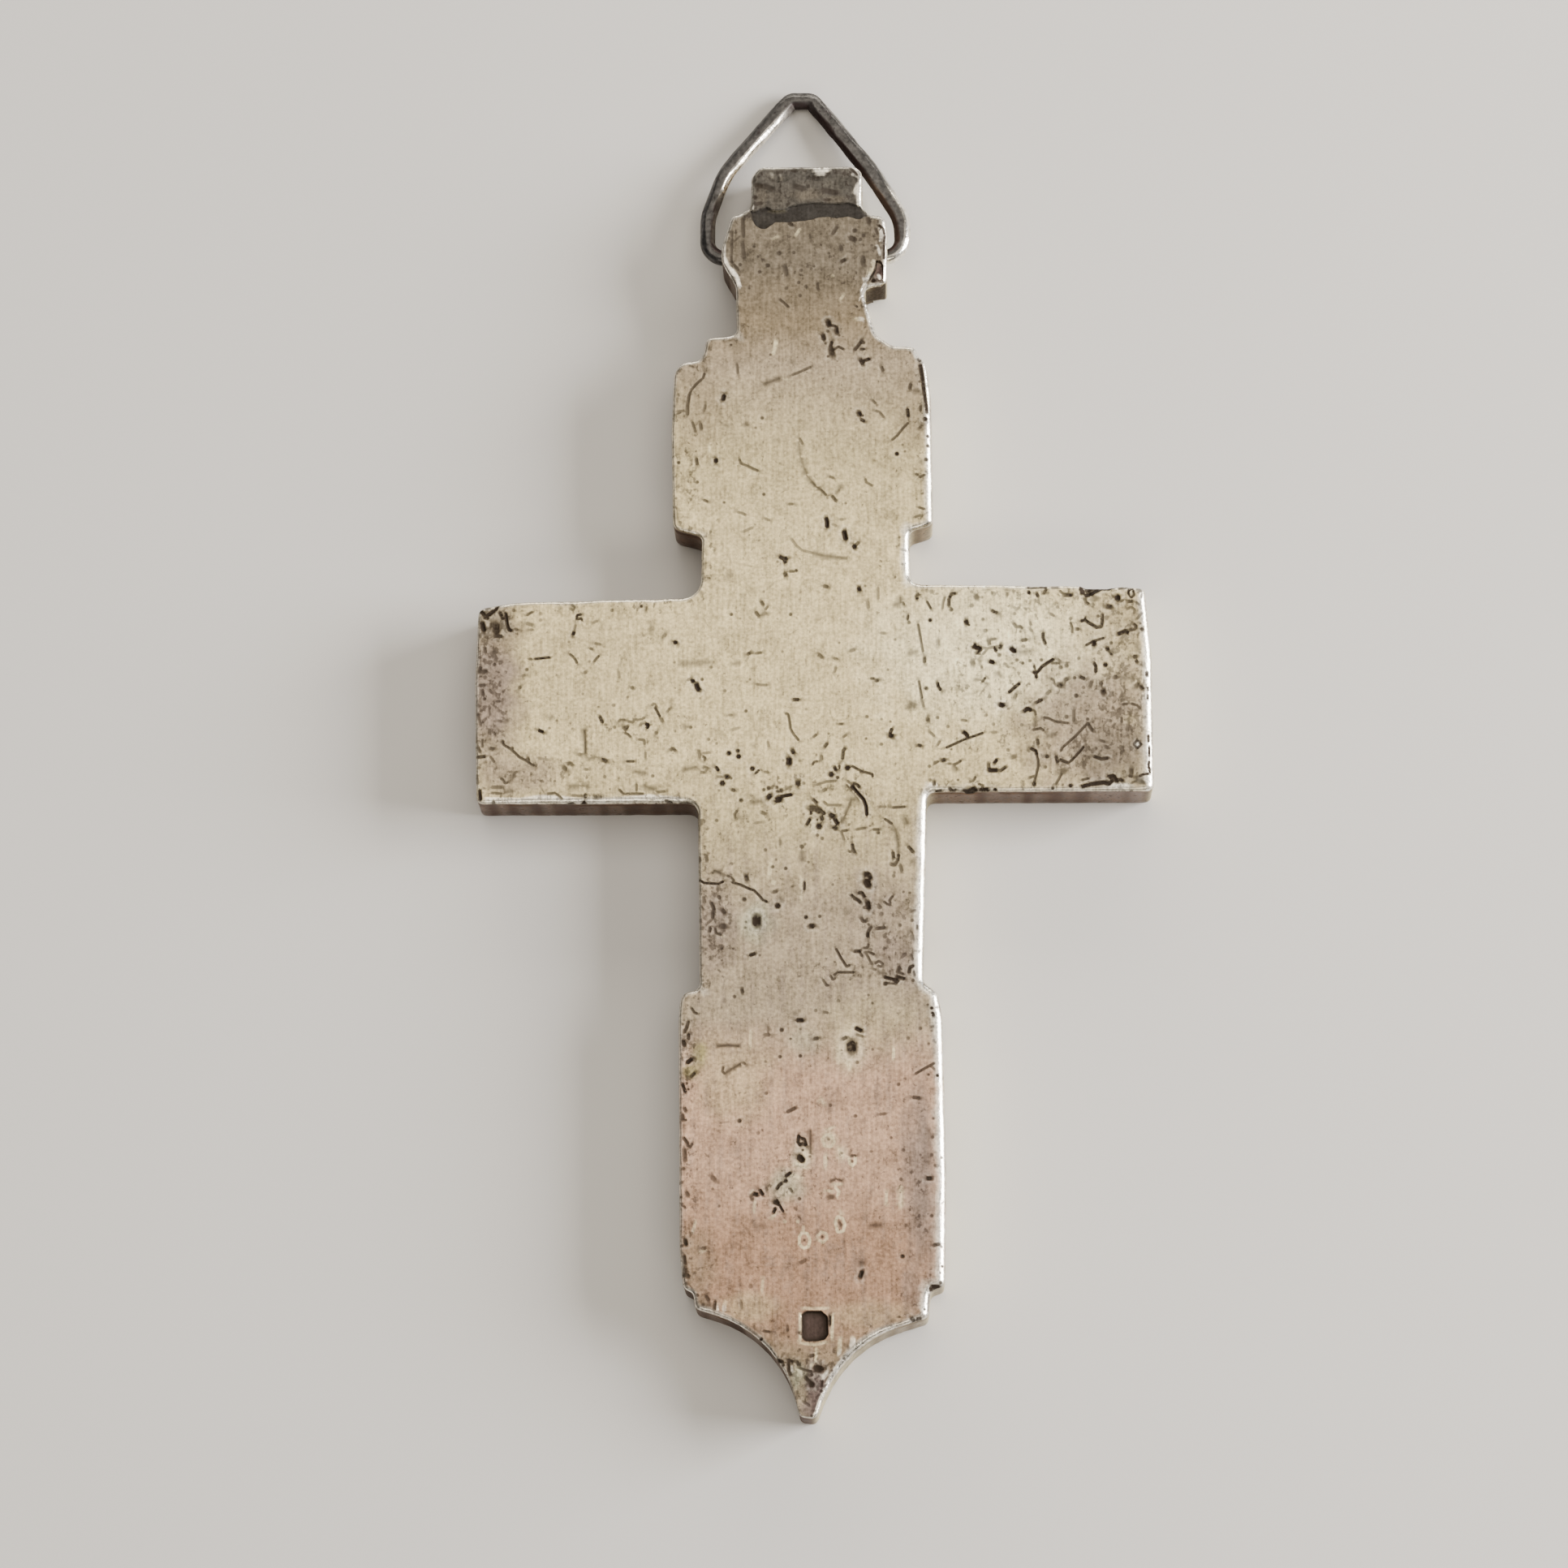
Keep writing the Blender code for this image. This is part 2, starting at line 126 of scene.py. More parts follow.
# The marks worn into the back, as charted: width, darkness, and the place in the
# photograph's pixels, with the steps from there to the next places. One place is a pit.
UPPER_MARKS = (
    (3, .4, 949, 437), (3, .45, 908, 449, 1, 11), (2, .45, 941, 473, 9, -3, 10, -4),
    (3, .5, 976, 462, 10, -4, 13, -6), (3, .6, 868, 460, -2, 6, -7, 6, -7, 8, -3, 7),
    (4, .55, 849, 487, -2, 13, 0, 11), (5, .95, 892, 487, -1, 5), (3, .35, 869, 499, -2, 8),
    (4, .6, 939, 515), (2, .45, 918, 522, 3, 2), (3, .35, 931, 527), (3, .45, 853, 520, 4, 12),
    (4, .5, 863, 522, 1, 6), (3, .4, 836, 507, 7, -1), (4, .65, 858, 565, 1, 7), (4, .65, 836, 570),
    (5, 1, 882, 566, 0, 3), (3, .55, 911, 566, 2, 5, 8, 3, 6, 3, 7, 3), (3, .45, 985, 540, 4, 7),
    (2, .25, 984, 545, 2, 18, 5, 15), (2, .4, 991, 578, 3, 8, 6, 8), (4, .55, 859, 594), (4, .6, 941, 609),
    (3, .6, 867, 616, 5, 2), (3, .5, 892, 619), (6, .9, 1020, 396, 1, 4), (3, .7, 1021, 400, 9, 2),
    (5, .8, 1030, 403, 1, 7), (4, .5, 1020, 408), (3, .4, 1034, 413), (5, .85, 1014, 413, 1, 5),
    (4, .75, 1025, 421, -2, 6), (7, .75, 1024, 430, 1, 7), (3, .65, 1027, 431, 6, -4, 6, 3),
    (3, .5, 1020, 439), (3, .5, 1017, 423), (4, .7, 1062, 419, -4, 6, -5, 6), (4, .6, 1064, 422),
    (3, .7, 1060, 430, 5, 0), (5, .8, 1060, 443, 3, 5), (4, .85, 1063, 445, 8, -3),
    (4, .55, 1086, 452, 2, 5), (4, .65, 1122, 473, -1, 6), (2, .35, 1126, 481, 6, 1),
    (3, .45, 1075, 493, 4, 4), (3, .45, 1079, 506, 5, 2, 5, 6), (6, .85, 1058, 508, 1, 3),
    (3, .6, 1063, 512), (4, .75, 1061, 517, 4, 2), (4, .8, 1118, 504, 1, 9),
    (3, .6, 1119, 521, -7, 7, -7, 9, -6, 5), (5, .9, 1105, 559), (3, .35, 1112, 548),
    (3, .35, 1115, 556), (3, .5, 1022, 587, 5, 2), (3, .5, 1066, 590, 1, 4, 7, 4),
    (5, .85, 1134, 450, 2, 12, 2, 16), (4, .85, 1138, 478, 3, 20, 1, 10), (4, .75, 1131, 442, 3, 3),
    (3, .5, 1133, 470), (3, .6, 1134, 500, 0, 6), (6, .85, 1140, 516), (3, .6, 1133, 527, 3, -3),
    (4, .8, 1143, 537), (4, .8, 1143, 549), (5, .75, 1141, 566), (3, .6, 1128, 584, 3, 1),
    (3, .65, 1133, 588, 6, -3), (3, .5, 1141, 581), (2, .6, 1000, 594, 6, 6, 6, 4),
    (3, .55, 1012, 604, 6, 6), (4, .65, 1025, 611, 5, 6), (2, .35, 1036, 600, -6, 8),
    (5, .9, 1086, 403, 2, 4), (3, .4, 909, 631, 5, 1, 4, 2), (3, .5, 972, 621, 5, 0),
    (3, .35, 943, 639, 5, 2), (3, .3, 916, 655, 4, -2, 7, -3), (3, .3, 975, 664, 6, 8, 7, 6, 12, 3),
    (2, .4, 1000, 681, 15, 4, 15, 2, 13, 1), (5, .85, 961, 686, 4, 2, 4, 0), (5, .85, 968, 689, -1, 4),
    (3, .35, 958, 692), (5, .75, 967, 706, 1, 3), (3, .6, 973, 704, 5, 0), (4, .7, 981, 703),
    (3, .3, 941, 729), (4, .65, 938, 741, 2, 4), (3, .5, 946, 747, -3, 4), (4, .65, 931, 754, 4, 5),
    (2, .4, 937, 758, 8, -2), (4, .6, 901, 757), (4, .65, 974, 757), (4, .65, 921, 806, 4, -2),
    (3, .55, 931, 805, 7, -1), (3, .3, 964, 803), (2, .3, 903, 818, 8, -1),
    (3, .4, 932, 843, 6, 1, 7, 0), (4, .4, 893, 851), (3, .3, 924, 837), (2, .2, 838, 818, 37, -2),
    (5, 1, 1018, 639, 1, 4, 0, 6), (3, .3, 1026, 646, 5, 2), (3, .35, 1035, 640, 4, 0),
    (6, 1, 1040, 655, 1, 5, 1, 4), (5, .9, 1052, 672, 1, 3), (4, .6, 1055, 671, 3, -3),
    (3, .4, 1042, 620), (3, .45, 1108, 662), (3, .4, 1112, 677, 4, 1), (3, .45, 1112, 695),
    (3, .35, 1103, 711), (4, .8, 1121, 676), (3, .6, 1132, 625, 7, 2), (3, .5, 1127, 637, 7, -2),
    (4, .6, 1015, 722, 5, 1), (5, .9, 1058, 724, 1, 3), (3, .35, 1066, 722), (3, .3, 1082, 724, 0, 14),
    (4, .35, 1069, 741, 1, 8), (2, .5, 1109, 736, 0, 7), (2, .4, 1102, 745, 7, -2),
    (3, .55, 1112, 742, 2, 3), (3, .65, 1131, 731, 2, 2), (4, .8, 1129, 734, 1, 4),
    (3, .7, 1119, 758, -1, 5), (4, .45, 1120, 767), (3, .6, 1131, 769, 3, 16, 3, 18),
    (4, .65, 1139, 810, 0, 6), (3, .65, 1132, 839, 2, 11, 2, 10), (3, .35, 1034, 792),
    (4, .4, 1048, 802, 5, -2), (3, .3, 1085, 780, 6, 0), (3, .35, 1103, 788), (4, .55, 1009, 806, 4, 4),
    (3, .5, 1027, 811, 5, 1), (3, .35, 1030, 822, -2, 6), (3, .65, 1073, 836, 4, 0),
    (4, .7, 1079, 839, 3, -1), (3, .35, 1094, 825), (2, .3, 1120, 805, 8, -2), (4, .4, 1156, 791),
)
LEFT_ARM_MARKS = (
    (5, .9, 592, 752, 4, 5), (5, .9, 600, 759, 4, -3, 4, -3), (4, .8, 597, 761, 4, 1),
    (4, .9, 611, 751, 2, -4), (4, .85, 616, 755, 2, 4), (4, .8, 619, 762),
    (4, .9, 623, 756, 1, 8, 1, 6, 2, 6, 3, 1), (3, .45, 634, 775, 4, 1), (6, .9, 594, 768, 2, 8),
    (9, .8, 611, 770, 0, 8), (3, .6, 605, 768, -1, 5), (4, .7, 610, 784, 8, 0), (3, .4, 598, 785, 3, 1),
    (4, .55, 597, 798, 1, 6), (4, .5, 591, 810), (4, .35, 610, 808, 1, 5), (4, .45, 609, 819),
    (4, .6, 592, 822, -2, 6), (5, .6, 595, 828, 3, -1), (4, .6, 591, 845, 6, -1),
    (4, .6, 594, 850, 1, 6), (4, .6, 597, 861), (4, .3, 604, 851), (3, .45, 612, 864, 4, 0),
    (4, .3, 590, 870), (3, .4, 589, 880, 3, 13), (3, .5, 608, 902, 2, 3), (3, .4, 614, 888, 4, 1),
    (2, .3, 622, 888, 4, 0), (4, .55, 640, 848, 1, -2), (4, .55, 649, 825), (3, .3, 643, 833, 4, -1),
    (3, .55, 594, 912, 0, 8), (4, .6, 589, 921, 2, 5), (4, .75, 589, 933, 8, -1),
    (4, .6, 604, 922, 4, 1), (3, .5, 604, 932, 5, 7), (4, .4, 590, 946), (4, .9, 591, 974, 1, 11),
    (3, .4, 587, 955, 2, 10), (3, .65, 619, 913, 2, 5, 7, 4, 6, 5, 6, 6, 8, 4, 7, 5, 3, 1),
    (5, .6, 619, 914), (4, .65, 650, 934, 1, 3), (4, .5, 631, 922),
    (3, .55, 617, 959, 3, 2, 2, 4, 3, -1), (3, .45, 632, 957, 2, -5, 3, -1), (4, .45, 606, 970, 12, 0),
    (3, .5, 606, 977, 12, 1), (2, .3, 622, 976, 10, -1), (4, .45, 633, 752),
    (3, .6, 649, 758, 3, -2, 4, -2), (4, .4, 649, 768, 7, 2), (3, .35, 653, 776, 3, 0),
    (4, .25, 666, 756), (4, .25, 666, 764), (3, .55, 652, 812, 3, 0), (3, .8, 659, 812, 9, -1, 9, -1),
    (4, .95, 664, 900, 5, 2), (2, .3, 677, 885, 4, -2), (3, .35, 686, 888), (3, .3, 677, 897),
    (3, .5, 704, 745, 3, 2), (3, .5, 703, 750, 3, 2, 2, -4),
    (3, .8, 716, 757, -5, 1, -1, 5, 6, -1, 1, 2), (4, .9, 706, 782, 1, -3), (3, .4, 708, 775, 1, -5),
    (3, .6, 702, 806, 4, 3, 3, 4, 2, 4), (3, .3, 701, 791), (3, .35, 731, 767, 5, -2),
    (3, .55, 727, 799, 3, 1), (3, .4, 733, 793, 7, 1), (3, .3, 726, 815),
    (3, .6, 732, 815, 3, -4, 3, -3), (4, .45, 720, 829, 2, -1), (4, .75, 739, 883, 3, 7),
    (3, .25, 718, 855), (3, .25, 705, 898), (2, .6, 720, 900, 1, 15, 0, 13), (4, .45, 713, 929, 2, 1),
    (2, .3, 725, 935, 10, -2, 7, 2), (5, .55, 694, 945, 3, 3), (4, .55, 699, 941, 4, -1, 2, 3),
    (3, .4, 721, 948, 3, 0), (3, .2, 663, 934, 12, 2), (3, .6, 675, 978, 8, -1, 5, 3, 4, 4),
    (2, .35, 702, 969, 13, -1, 9, 1), (3, .45, 705, 980, 13, 1), (4, .8, 721, 979, 0, 3),
    (4, .6, 733, 981, 2, 2), (4, .6, 740, 982), (3, .6, 605, 992, 3, -5, 2, 7),
    (2, .9, 635, 992, 23, 0), (3, .8, 700, 990, 6, -1, 2, 4), (3, .9, 715, 993, 5, -6, 2, 3),
    (4, .4, 754, 752), (4, .75, 790, 747), (4, .4, 818, 784, 2, -3), (5, .9, 831, 791, 2, 1),
    (3, .2, 793, 783), (3, .25, 762, 827, 1, 8), (4, .55, 778, 847, 2, 1), (3, .3, 773, 859),
    (4, .35, 756, 869), (3, .3, 831, 816), (4, .45, 876, 822), (5, .95, 853, 838, 1, 2),
    (6, .95, 858, 843, 1, 4, 2, 3), (4, .6, 865, 837), (3, .4, 847, 838, 4, -2),
    (3, .5, 762, 889, 2, -2, 6, 0), (3, .45, 774, 889, 6, 1, 1, -4, 5, 1, 5, -1, 3, -2),
    (3, .4, 788, 894, 2, -2), (4, .95, 796, 892, 3, 1, -2, 4), (4, .35, 757, 896),
    (4, .65, 768, 896, 3, 3, 2, -4), (3, .6, 770, 903, 4, 2, 3, 3), (3, .45, 803, 869, 3, -2, 3, 4),
    (3, .75, 807, 872, 3, 5, 3, 6), (4, .5, 815, 886, 1, 3), (3, .45, 822, 877, 3, -4),
    (4, .55, 809, 902, -1, 2), (3, .5, 787, 911, 7, 1, 0, 5), (3, .4, 795, 927, 0, 6),
    (4, .6, 826, 924, 3, -2, 3, 3), (4, .55, 851, 896), (2, .3, 843, 896, 5, 0),
    (5, .75, 743, 936, 4, 2), (3, .7, 772, 938, 9, 0), (4, .4, 745, 957), (4, .5, 804, 956),
    (2, .35, 782, 951, 13, 2), (3, .5, 784, 966, 0, 8), (3, .6, 763, 973, 5, 5, 12, 0, 12, 0),
    (2, .4, 793, 968, 7, 3, 6, 2), (3, .45, 810, 976, 9, -1), (2, .35, 842, 948, 8, -1, 8, -2),
    (3, .45, 861, 925, 1, 9), (3, .6, 866, 932, 3, 2, -1, 3), (3, .5, 867, 946, 5, 0, -2, 3),
    (3, .4, 864, 951, 4, 1), (4, .4, 873, 911), (3, .75, 820, 986, 7, 2, 2, 3),
    (2, .5, 835, 990, 5, -2, 8, 1), (3, .8, 846, 988, 6, 3, 4, 5),
)
CENTRE_MARKS = (
    (4, .8, 978, 862, 6, 0), (4, .6, 919, 876), (3, .4, 898, 881, 4, 0),
    (3, .6, 968, 879, 3, 1, 2, 10, 1, 8, 4, 7, 6, 7), (3, .25, 993, 874), (3, .6, 1002, 908, 4, -3),
    (3, .25, 902, 899, 8, -2), (3, .4, 946, 914, 1, 6), (3, .3, 873, 911), (3, .3, 883, 916),
    (6, .85, 898, 928), (5, .8, 909, 925), (6, .9, 910, 932), (3, .45, 867, 933, 2, 3),
    (3, .3, 862, 929, 12, -2), (4, .8, 882, 945, 3, 4), (4, .4, 868, 945, 4, 2), (3, .3, 864, 952),
    (6, .8, 894, 957, 3, 0), (3, .4, 884, 957, 5, 0), (3, .5, 901, 959), (7, .85, 890, 965),
    (3, .3, 886, 974), (4, .65, 902, 973, 3, 1), (5, .7, 913, 986), (6, .9, 927, 947),
    (3, .75, 930, 953, 3, -2, 2, -2), (3, .45, 942, 951, 5, 1), (3, .3, 938, 963), (4, .6, 941, 973),
    (5, .75, 947, 971), (3, .5, 950, 971, 3, -3), (4, .65, 957, 970), (6, .7, 962, 974),
    (4, .65, 958, 975), (6, .9, 946, 983, 3, -3), (7, .9, 956, 986, 5, -1), (4, .95, 958, 982, 17, -3),
    (3, .4, 969, 972, 6, -3), (5, .8, 976, 924, 2, 4), (7, .95, 972, 935, 0, 6), (3, .3, 965, 937),
    (3, .3, 985, 937), (6, .85, 983, 963, 0, 4), (4, .4, 990, 965), (3, .65, 1001, 942, 2, -3, 4, -1),
    (4, .75, 1002, 985, 4, 4), (8, .75, 998, 996, 6, 0, 6, 3), (4, .8, 999, 1002), (5, .85, 1015, 1002),
    (4, .8, 994, 1016, 4, -7), (8, .9, 1009, 1018), (4, .5, 1007, 1029), (4, .45, 1013, 1033),
    (5, .8, 1012, 1006, 1, 4), (3, .6, 1007, 1010), (4, .5, 939, 1001, 4, 2),
    (3, .5, 908, 999, -3, 4, 1, 5), (4, .4, 883, 1011), (2, .35, 925, 989, 13, -2),
    (3, .25, 930, 1014, 8, -1), (5, .6, 988, 1043), (2, .3, 988, 1046, 0, 14),
    (3, .35, 961, 1035, 0, 6), (4, .4, 943, 1047), (4, .5, 870, 1056, 1, 4), (3, .3, 956, 1059),
    (3, .3, 990, 1003), (4, .55, 1068, 883), (3, .6, 1034, 892, 4, 0), (3, .35, 1021, 904),
    (3, .45, 1039, 908, 4, -3), (3, .45, 1067, 910), (4, .45, 1086, 917), (3, .3, 1086, 886),
    (3, .45, 1097, 889), (4, .85, 1099, 898, -2, 4), (6, .95, 1097, 906, 2, 1),
    (4, .75, 1131, 918, 4, 1), (2, .5, 1121, 867, 6, 5), (2, .5, 1119, 872, 8, -5),
    (3, .45, 1135, 860, 3, 11), (4, .7, 1041, 922, -2, 3, -1, 10), (4, .7, 1016, 920, 3, -4),
    (4, .5, 1012, 931, 0, 5), (7, .9, 1044, 946), (4, .85, 1028, 945, 2, 4), (3, .7, 1034, 943, 0, 4),
    (7, .9, 1024, 954), (4, .75, 1032, 958), (3, .75, 1050, 944, 11, 6, 14, 4, 0, 3),
    (5, .6, 1061, 951), (3, .45, 1006, 967, 12, -4, 12, -1), (4, .5, 1014, 974, 4, -2),
    (3, .55, 1044, 962, 6, 5), (4, 1, 1050, 969, 7, 8, 7, 8, 3, 8, 1, 11),
    (4, .8, 1051, 965, 5, 2, 3, 3), (2, .6, 1043, 967, 6, 7), (2, .4, 1052, 977, 6, 10),
    (2, .45, 1049, 985, -5, 12, -3, 8, -5, 8), (3, .45, 1015, 988, 5, 4, 16, 0),
    (6, .9, 1023, 1004, 4, 2), (5, .9, 1029, 1010, 3, 5), (5, .8, 1027, 1019, 3, 2),
    (3, .45, 1023, 1009), (3, .4, 1046, 1016), (3, .6, 1037, 1024, 7, -1), (3, .4, 1037, 1026, 3, 9),
    (3, .5, 1055, 1022, 11, -2), (3, .6, 1076, 1022, 7, 0), (4, .65, 1082, 1026),
    (3, .35, 1084, 994, 7, 0), (3, .65, 1100, 995, 15, -1), (3, .65, 1090, 1009, 9, 6),
    (2, .45, 1115, 1008, 2, 7), (2, .4, 1103, 1022, 2, 11, 2, 10), (4, .7, 1119, 1043, 3, 3, 3, 4),
    (4, .75, 1050, 1040, 1, 6, 2, 4), (3, .6, 1046, 1049, 7, 1), (4, .7, 1100, 1050, 1, 7),
    (4, .7, 1107, 1053, -1, 7), (3, .6, 1151, 941, 5, -3), (3, .35, 1136, 973),
)
SHAFT_MARKS = (
    (3, .5, 862, 1057, 1, 4), (2, .55, 880, 1073, 8, 3), (3, .6, 896, 1079, 5, 2, 3, 4),
    (3, .75, 902, 1087, 10, 3, 11, 5, 6, 2, 6, 6, 5, 6, 5, 2), (3, .8, 862, 1085, 6, 3, 17, 1, 6, -3),
    (5, .75, 919, 1079, 1, 5), (5, .7, 917, 1108), (4, .6, 885, 1104, 2, 3), (4, .5, 867, 1106, 1, 6),
    (4, .65, 876, 1112, 4, 9), (4, .65, 878, 1124, 0, 7), (3, .4, 877, 1133, -7, 6),
    (5, .7, 890, 1121, 3, 4), (7, .6, 889, 1141, 4, 1), (4, .65, 875, 1143, -1, 5),
    (3, .65, 881, 1144, 1, 6, 6, 2), (3, .35, 865, 1168), (3, .35, 869, 1175), (3, .3, 866, 1208),
    (3, .3, 872, 1208), (10, 1, 932, 1131, 0, 7), (3, .4, 919, 1136), (3, .4, 918, 1143),
    (4, .85, 924, 1177, 6, -2), (3, .35, 936, 1177), (7, .95, 958, 1116), (4, .65, 968, 1070),
    (4, .5, 952, 1068), (4, .55, 953, 1099, 4, -1), (2, .3, 960, 1107, 4, 2), (3, .8, 991, 1087, 0, 9),
    (5, .75, 993, 1130), (6, .85, 998, 1141, 4, 0), (3, .35, 996, 1062), (3, .3, 976, 1092),
    (4, .65, 1107, 1054, -1, 6, -4, 6, -4, -1), (4, .5, 1109, 1066, 2, 7), (4, .35, 1101, 1079),
    (3, .35, 1102, 1075), (6, .9, 1066, 1077, 4, 0, 2, 5), (8, 1, 1067, 1086, 3, 5),
    (4, .8, 1058, 1100, 4, 0, 3, 5), (4, .75, 1049, 1103, 4, 4, 4, 2, 3, 3), (6, .95, 1069, 1112, 1, 7),
    (4, .6, 1065, 1118), (3, .65, 1089, 1111, 4, 3, 4, 1, -1, -6, 4, -5), (5, .35, 1086, 1126),
    (4, .65, 1061, 1131, 2, 4, 4, 0), (3, .4, 1068, 1132), (3, .5, 1070, 1139),
    (4, .65, 1073, 1142, -3, 5), (4, .85, 1069, 1150, 0, 4), (4, .65, 1080, 1144, 10, -1),
    (2, .4, 1089, 1138, 0, 4), (3, .4, 1113, 1099), (3, .4, 1121, 1100), (4, .45, 1109, 1140),
    (4, .5, 1124, 1134), (3, .7, 1130, 1140, 0, 4), (2, .5, 1123, 1123, 5, -2),
    (2, .4, 1121, 1147, 3, 3, 2, 8), (4, .6, 1010, 1129), (3, .35, 1026, 1090),
    (3, .6, 1064, 1168, 5, 0, 1, -5), (4, .8, 1053, 1172, 6, 0), (3, .6, 1059, 1173, 3, 5),
    (3, .55, 1066, 1173, 4, 7, 4, 8), (3, .65, 1069, 1173, 4, 1, 4, 2),
    (3, .6, 1078, 1187, 5, -3, 5, 4), (3, .6, 1082, 1190, 4, 1), (3, .4, 1063, 1192),
    (3, .45, 1076, 1194, 3, 1), (3, .7, 1030, 1169, 6, 11, 7, 11, 4, -2),
    (3, .65, 1028, 1201, 4, -3, 14, 0, 6, 0), (3, .55, 1023, 1202, 3, 5, 3, -2),
    (3, .55, 1014, 1207, 4, 7, 3, 0), (2, .45, 1084, 1199, 8, 1), (3, .4, 1096, 1197),
    (4, .7, 1108, 1191, -2, 7), (3, .65, 1106, 1198, 7, 2), (3, .5, 1110, 1194),
    (4, .9, 1090, 1204, 8, 2, 7, 2), (4, .85, 1105, 1203, 9, 3), (5, .8, 1091, 1212),
    (3, .65, 1096, 1211, 8, 1, 3, -4), (4, .8, 1125, 1190, -4, 2, -1, 6), (2, .55, 1123, 1176, 2, 6),
    (3, .65, 1126, 1197, 1, 5), (4, .6, 1125, 1208), (3, .5, 1133, 1210), (3, .3, 1113, 1178),
)
LOWER_MARKS = (
    (4, .65, 914, 1219, 1, 4), (4, .5, 905, 1228), (3, .4, 1070, 1226),
    (4, .7, 848, 1259, -2, 7, -3, 6), (3, .45, 841, 1262), (4, .75, 848, 1274, 0, 6),
    (5, .8, 842, 1282, 1, 6), (3, .6, 852, 1242, 3, 5, 4, 2), (5, 1, 847, 1309, 5, -4),
    (4, .7, 851, 1327, 5, -5), (4, .85, 841, 1336, 3, 9), (3, .7, 846, 1335), (3, .65, 848, 1342),
    (4, .65, 843, 1365, 2, 4), (4, .6, 841, 1374, 0, 6), (3, .65, 845, 1380),
    (4, .7, 842, 1402, 4, 5, 2, 5), (3, .6, 850, 1414, 3, -5), (5, .6, 843, 1416, 1, 14),
    (4, .55, 842, 1440), (2, .6, 884, 1289, 13, -1, 13, 1), (3, .6, 891, 1315, -1, 5, 3, 3),
    (2, .6, 895, 1321, 10, -6, 7, -4), (3, .5, 915, 1309, 3, 2), (4, .45, 943, 1275, 5, 0),
    (2, .35, 946, 1265, 0, 9), (5, .75, 963, 1269), (5, .9, 982, 1257, 7, 0), (3, .4, 986, 1268),
    (3, .55, 974, 1280), (4, .65, 961, 1302), (4, .7, 986, 1301), (3, .3, 943, 1308),
    (4, .45, 944, 1347), (4, .65, 970, 1370, 10, -5), (5, .7, 911, 1381), (4, .3, 934, 1396),
    (5, .5, 877, 1450, 4, 4), (3, .35, 878, 1465), (4, .9, 984, 1399, -1, 8, 3, 4),
    (4, .85, 986, 1402, 5, 2, 2, 7, -5, -2), (3, .7, 989, 1417), (8, 1, 985, 1426, 3, 3),
    (2, .5, 998, 1393, 0, 28), (3, .5, 998, 1425), (4, .9, 974, 1445, -6, 4), (5, .85, 968, 1455),
    (4, .8, 963, 1458, -3, 2, -3, 5), (3, .4, 973, 1423), (3, .5, 974, 1465), (4, .35, 1033, 1233),
    (4, .4, 1005, 1245), (3, .45, 1015, 1247, 5, 1), (3, .5, 1075, 1236), (4, .65, 1003, 1280, 5, -1),
    (4, .7, 1039, 1280, 4, -2), (5, .95, 1055, 1267, 6, 3), (3, .45, 1056, 1275, 7, 2),
    (12, .85, 1049, 1286, 0, 8), (4, .45, 1056, 1309), (3, .35, 1075, 1293), (4, .45, 1134, 1267),
    (4, .45, 1119, 1279), (3, .45, 1144, 1286), (3, .4, 1148, 1270), (4, .95, 1148, 1242),
    (4, .95, 1149, 1248, 1, 3), (3, .5, 1143, 1238), (3, .65, 1128, 1323, 10, -6, 13, -7),
    (4, .85, 1155, 1325), (3, .6, 1144, 1324), (4, .5, 1107, 1336), (4, .65, 1125, 1352, 8, 1),
    (4, .45, 1023, 1362), (4, .5, 1054, 1375), (3, .45, 1084, 1373, 7, -1), (3, .5, 1150, 1378),
    (4, .6, 1149, 1401), (3, .4, 1098, 1402), (4, .45, 1113, 1417), (3, .35, 1134, 1423),
    (4, .45, 1148, 1423), (3, .5, 1152, 1436), (3, .5, 1160, 1426), (5, .85, 1143, 1452, 4, 0),
    (4, .45, 1110, 1453), (3, .65, 1049, 1424, 5, 0), (3, .4, 1050, 1431), (3, .35, 1021, 1404),
    (3, .35, 1037, 1421), (2, .55, 1024, 1455, 7, -2, 6, 2), (3, .3, 1073, 1419),
    (5, .9, 929, 1471, 4, 1), (4, .85, 936, 1466, 4, 6), (4, .55, 925, 1474, 2, 4),
    (3, .5, 944, 1463, 1, 4), (5, .9, 954, 1481, 5, 2), (3, .85, 957, 1478, 4, 8, 4, 7),
    (4, .85, 955, 1489, -2, 5), (3, .55, 972, 1464, 4, 4), (4, .6, 985, 1477), (3, .35, 886, 1486),
    (4, .55, 846, 1469, 2, 4), (3, .6, 839, 1475), (3, .6, 840, 1484, 4, 4), (5, .85, 844, 1528, 1, 5),
    (4, .5, 840, 1535), (4, .5, 865, 1538, 4, 0), (4, .7, 843, 1548, 1, 9), (5, .6, 844, 1563, 0, 4),
    (5, .65, 842, 1571, 6, 1), (4, .45, 845, 1582), (5, .3, 925, 1585), (3, .4, 991, 1528),
    (4, .45, 986, 1556, 6, -3), (4, .55, 870, 1597, 3, 5), (4, .65, 881, 1604, -1, 9),
    (4, .4, 866, 1608), (4, .5, 859, 1596), (3, .35, 913, 1604, 1, 8), (5, .5, 1022, 1475, 4, 0),
    (3, .55, 1034, 1506, 2, 4), (3, .5, 1013, 1524), (2, .4, 1072, 1510, 13, 0), (4, .3, 1116, 1510),
    (4, .55, 1148, 1498), (5, .75, 1112, 1548), (4, .75, 1151, 1534, 6, -1), (3, .5, 1160, 1536),
    (3, .75, 1161, 1560), (5, .95, 1062, 1567, -2, 6), (2, .4, 1059, 1556, 6, 0), (3, .5, 1158, 1568),
    (4, .8, 1159, 1580), (3, .4, 1146, 1571),
)
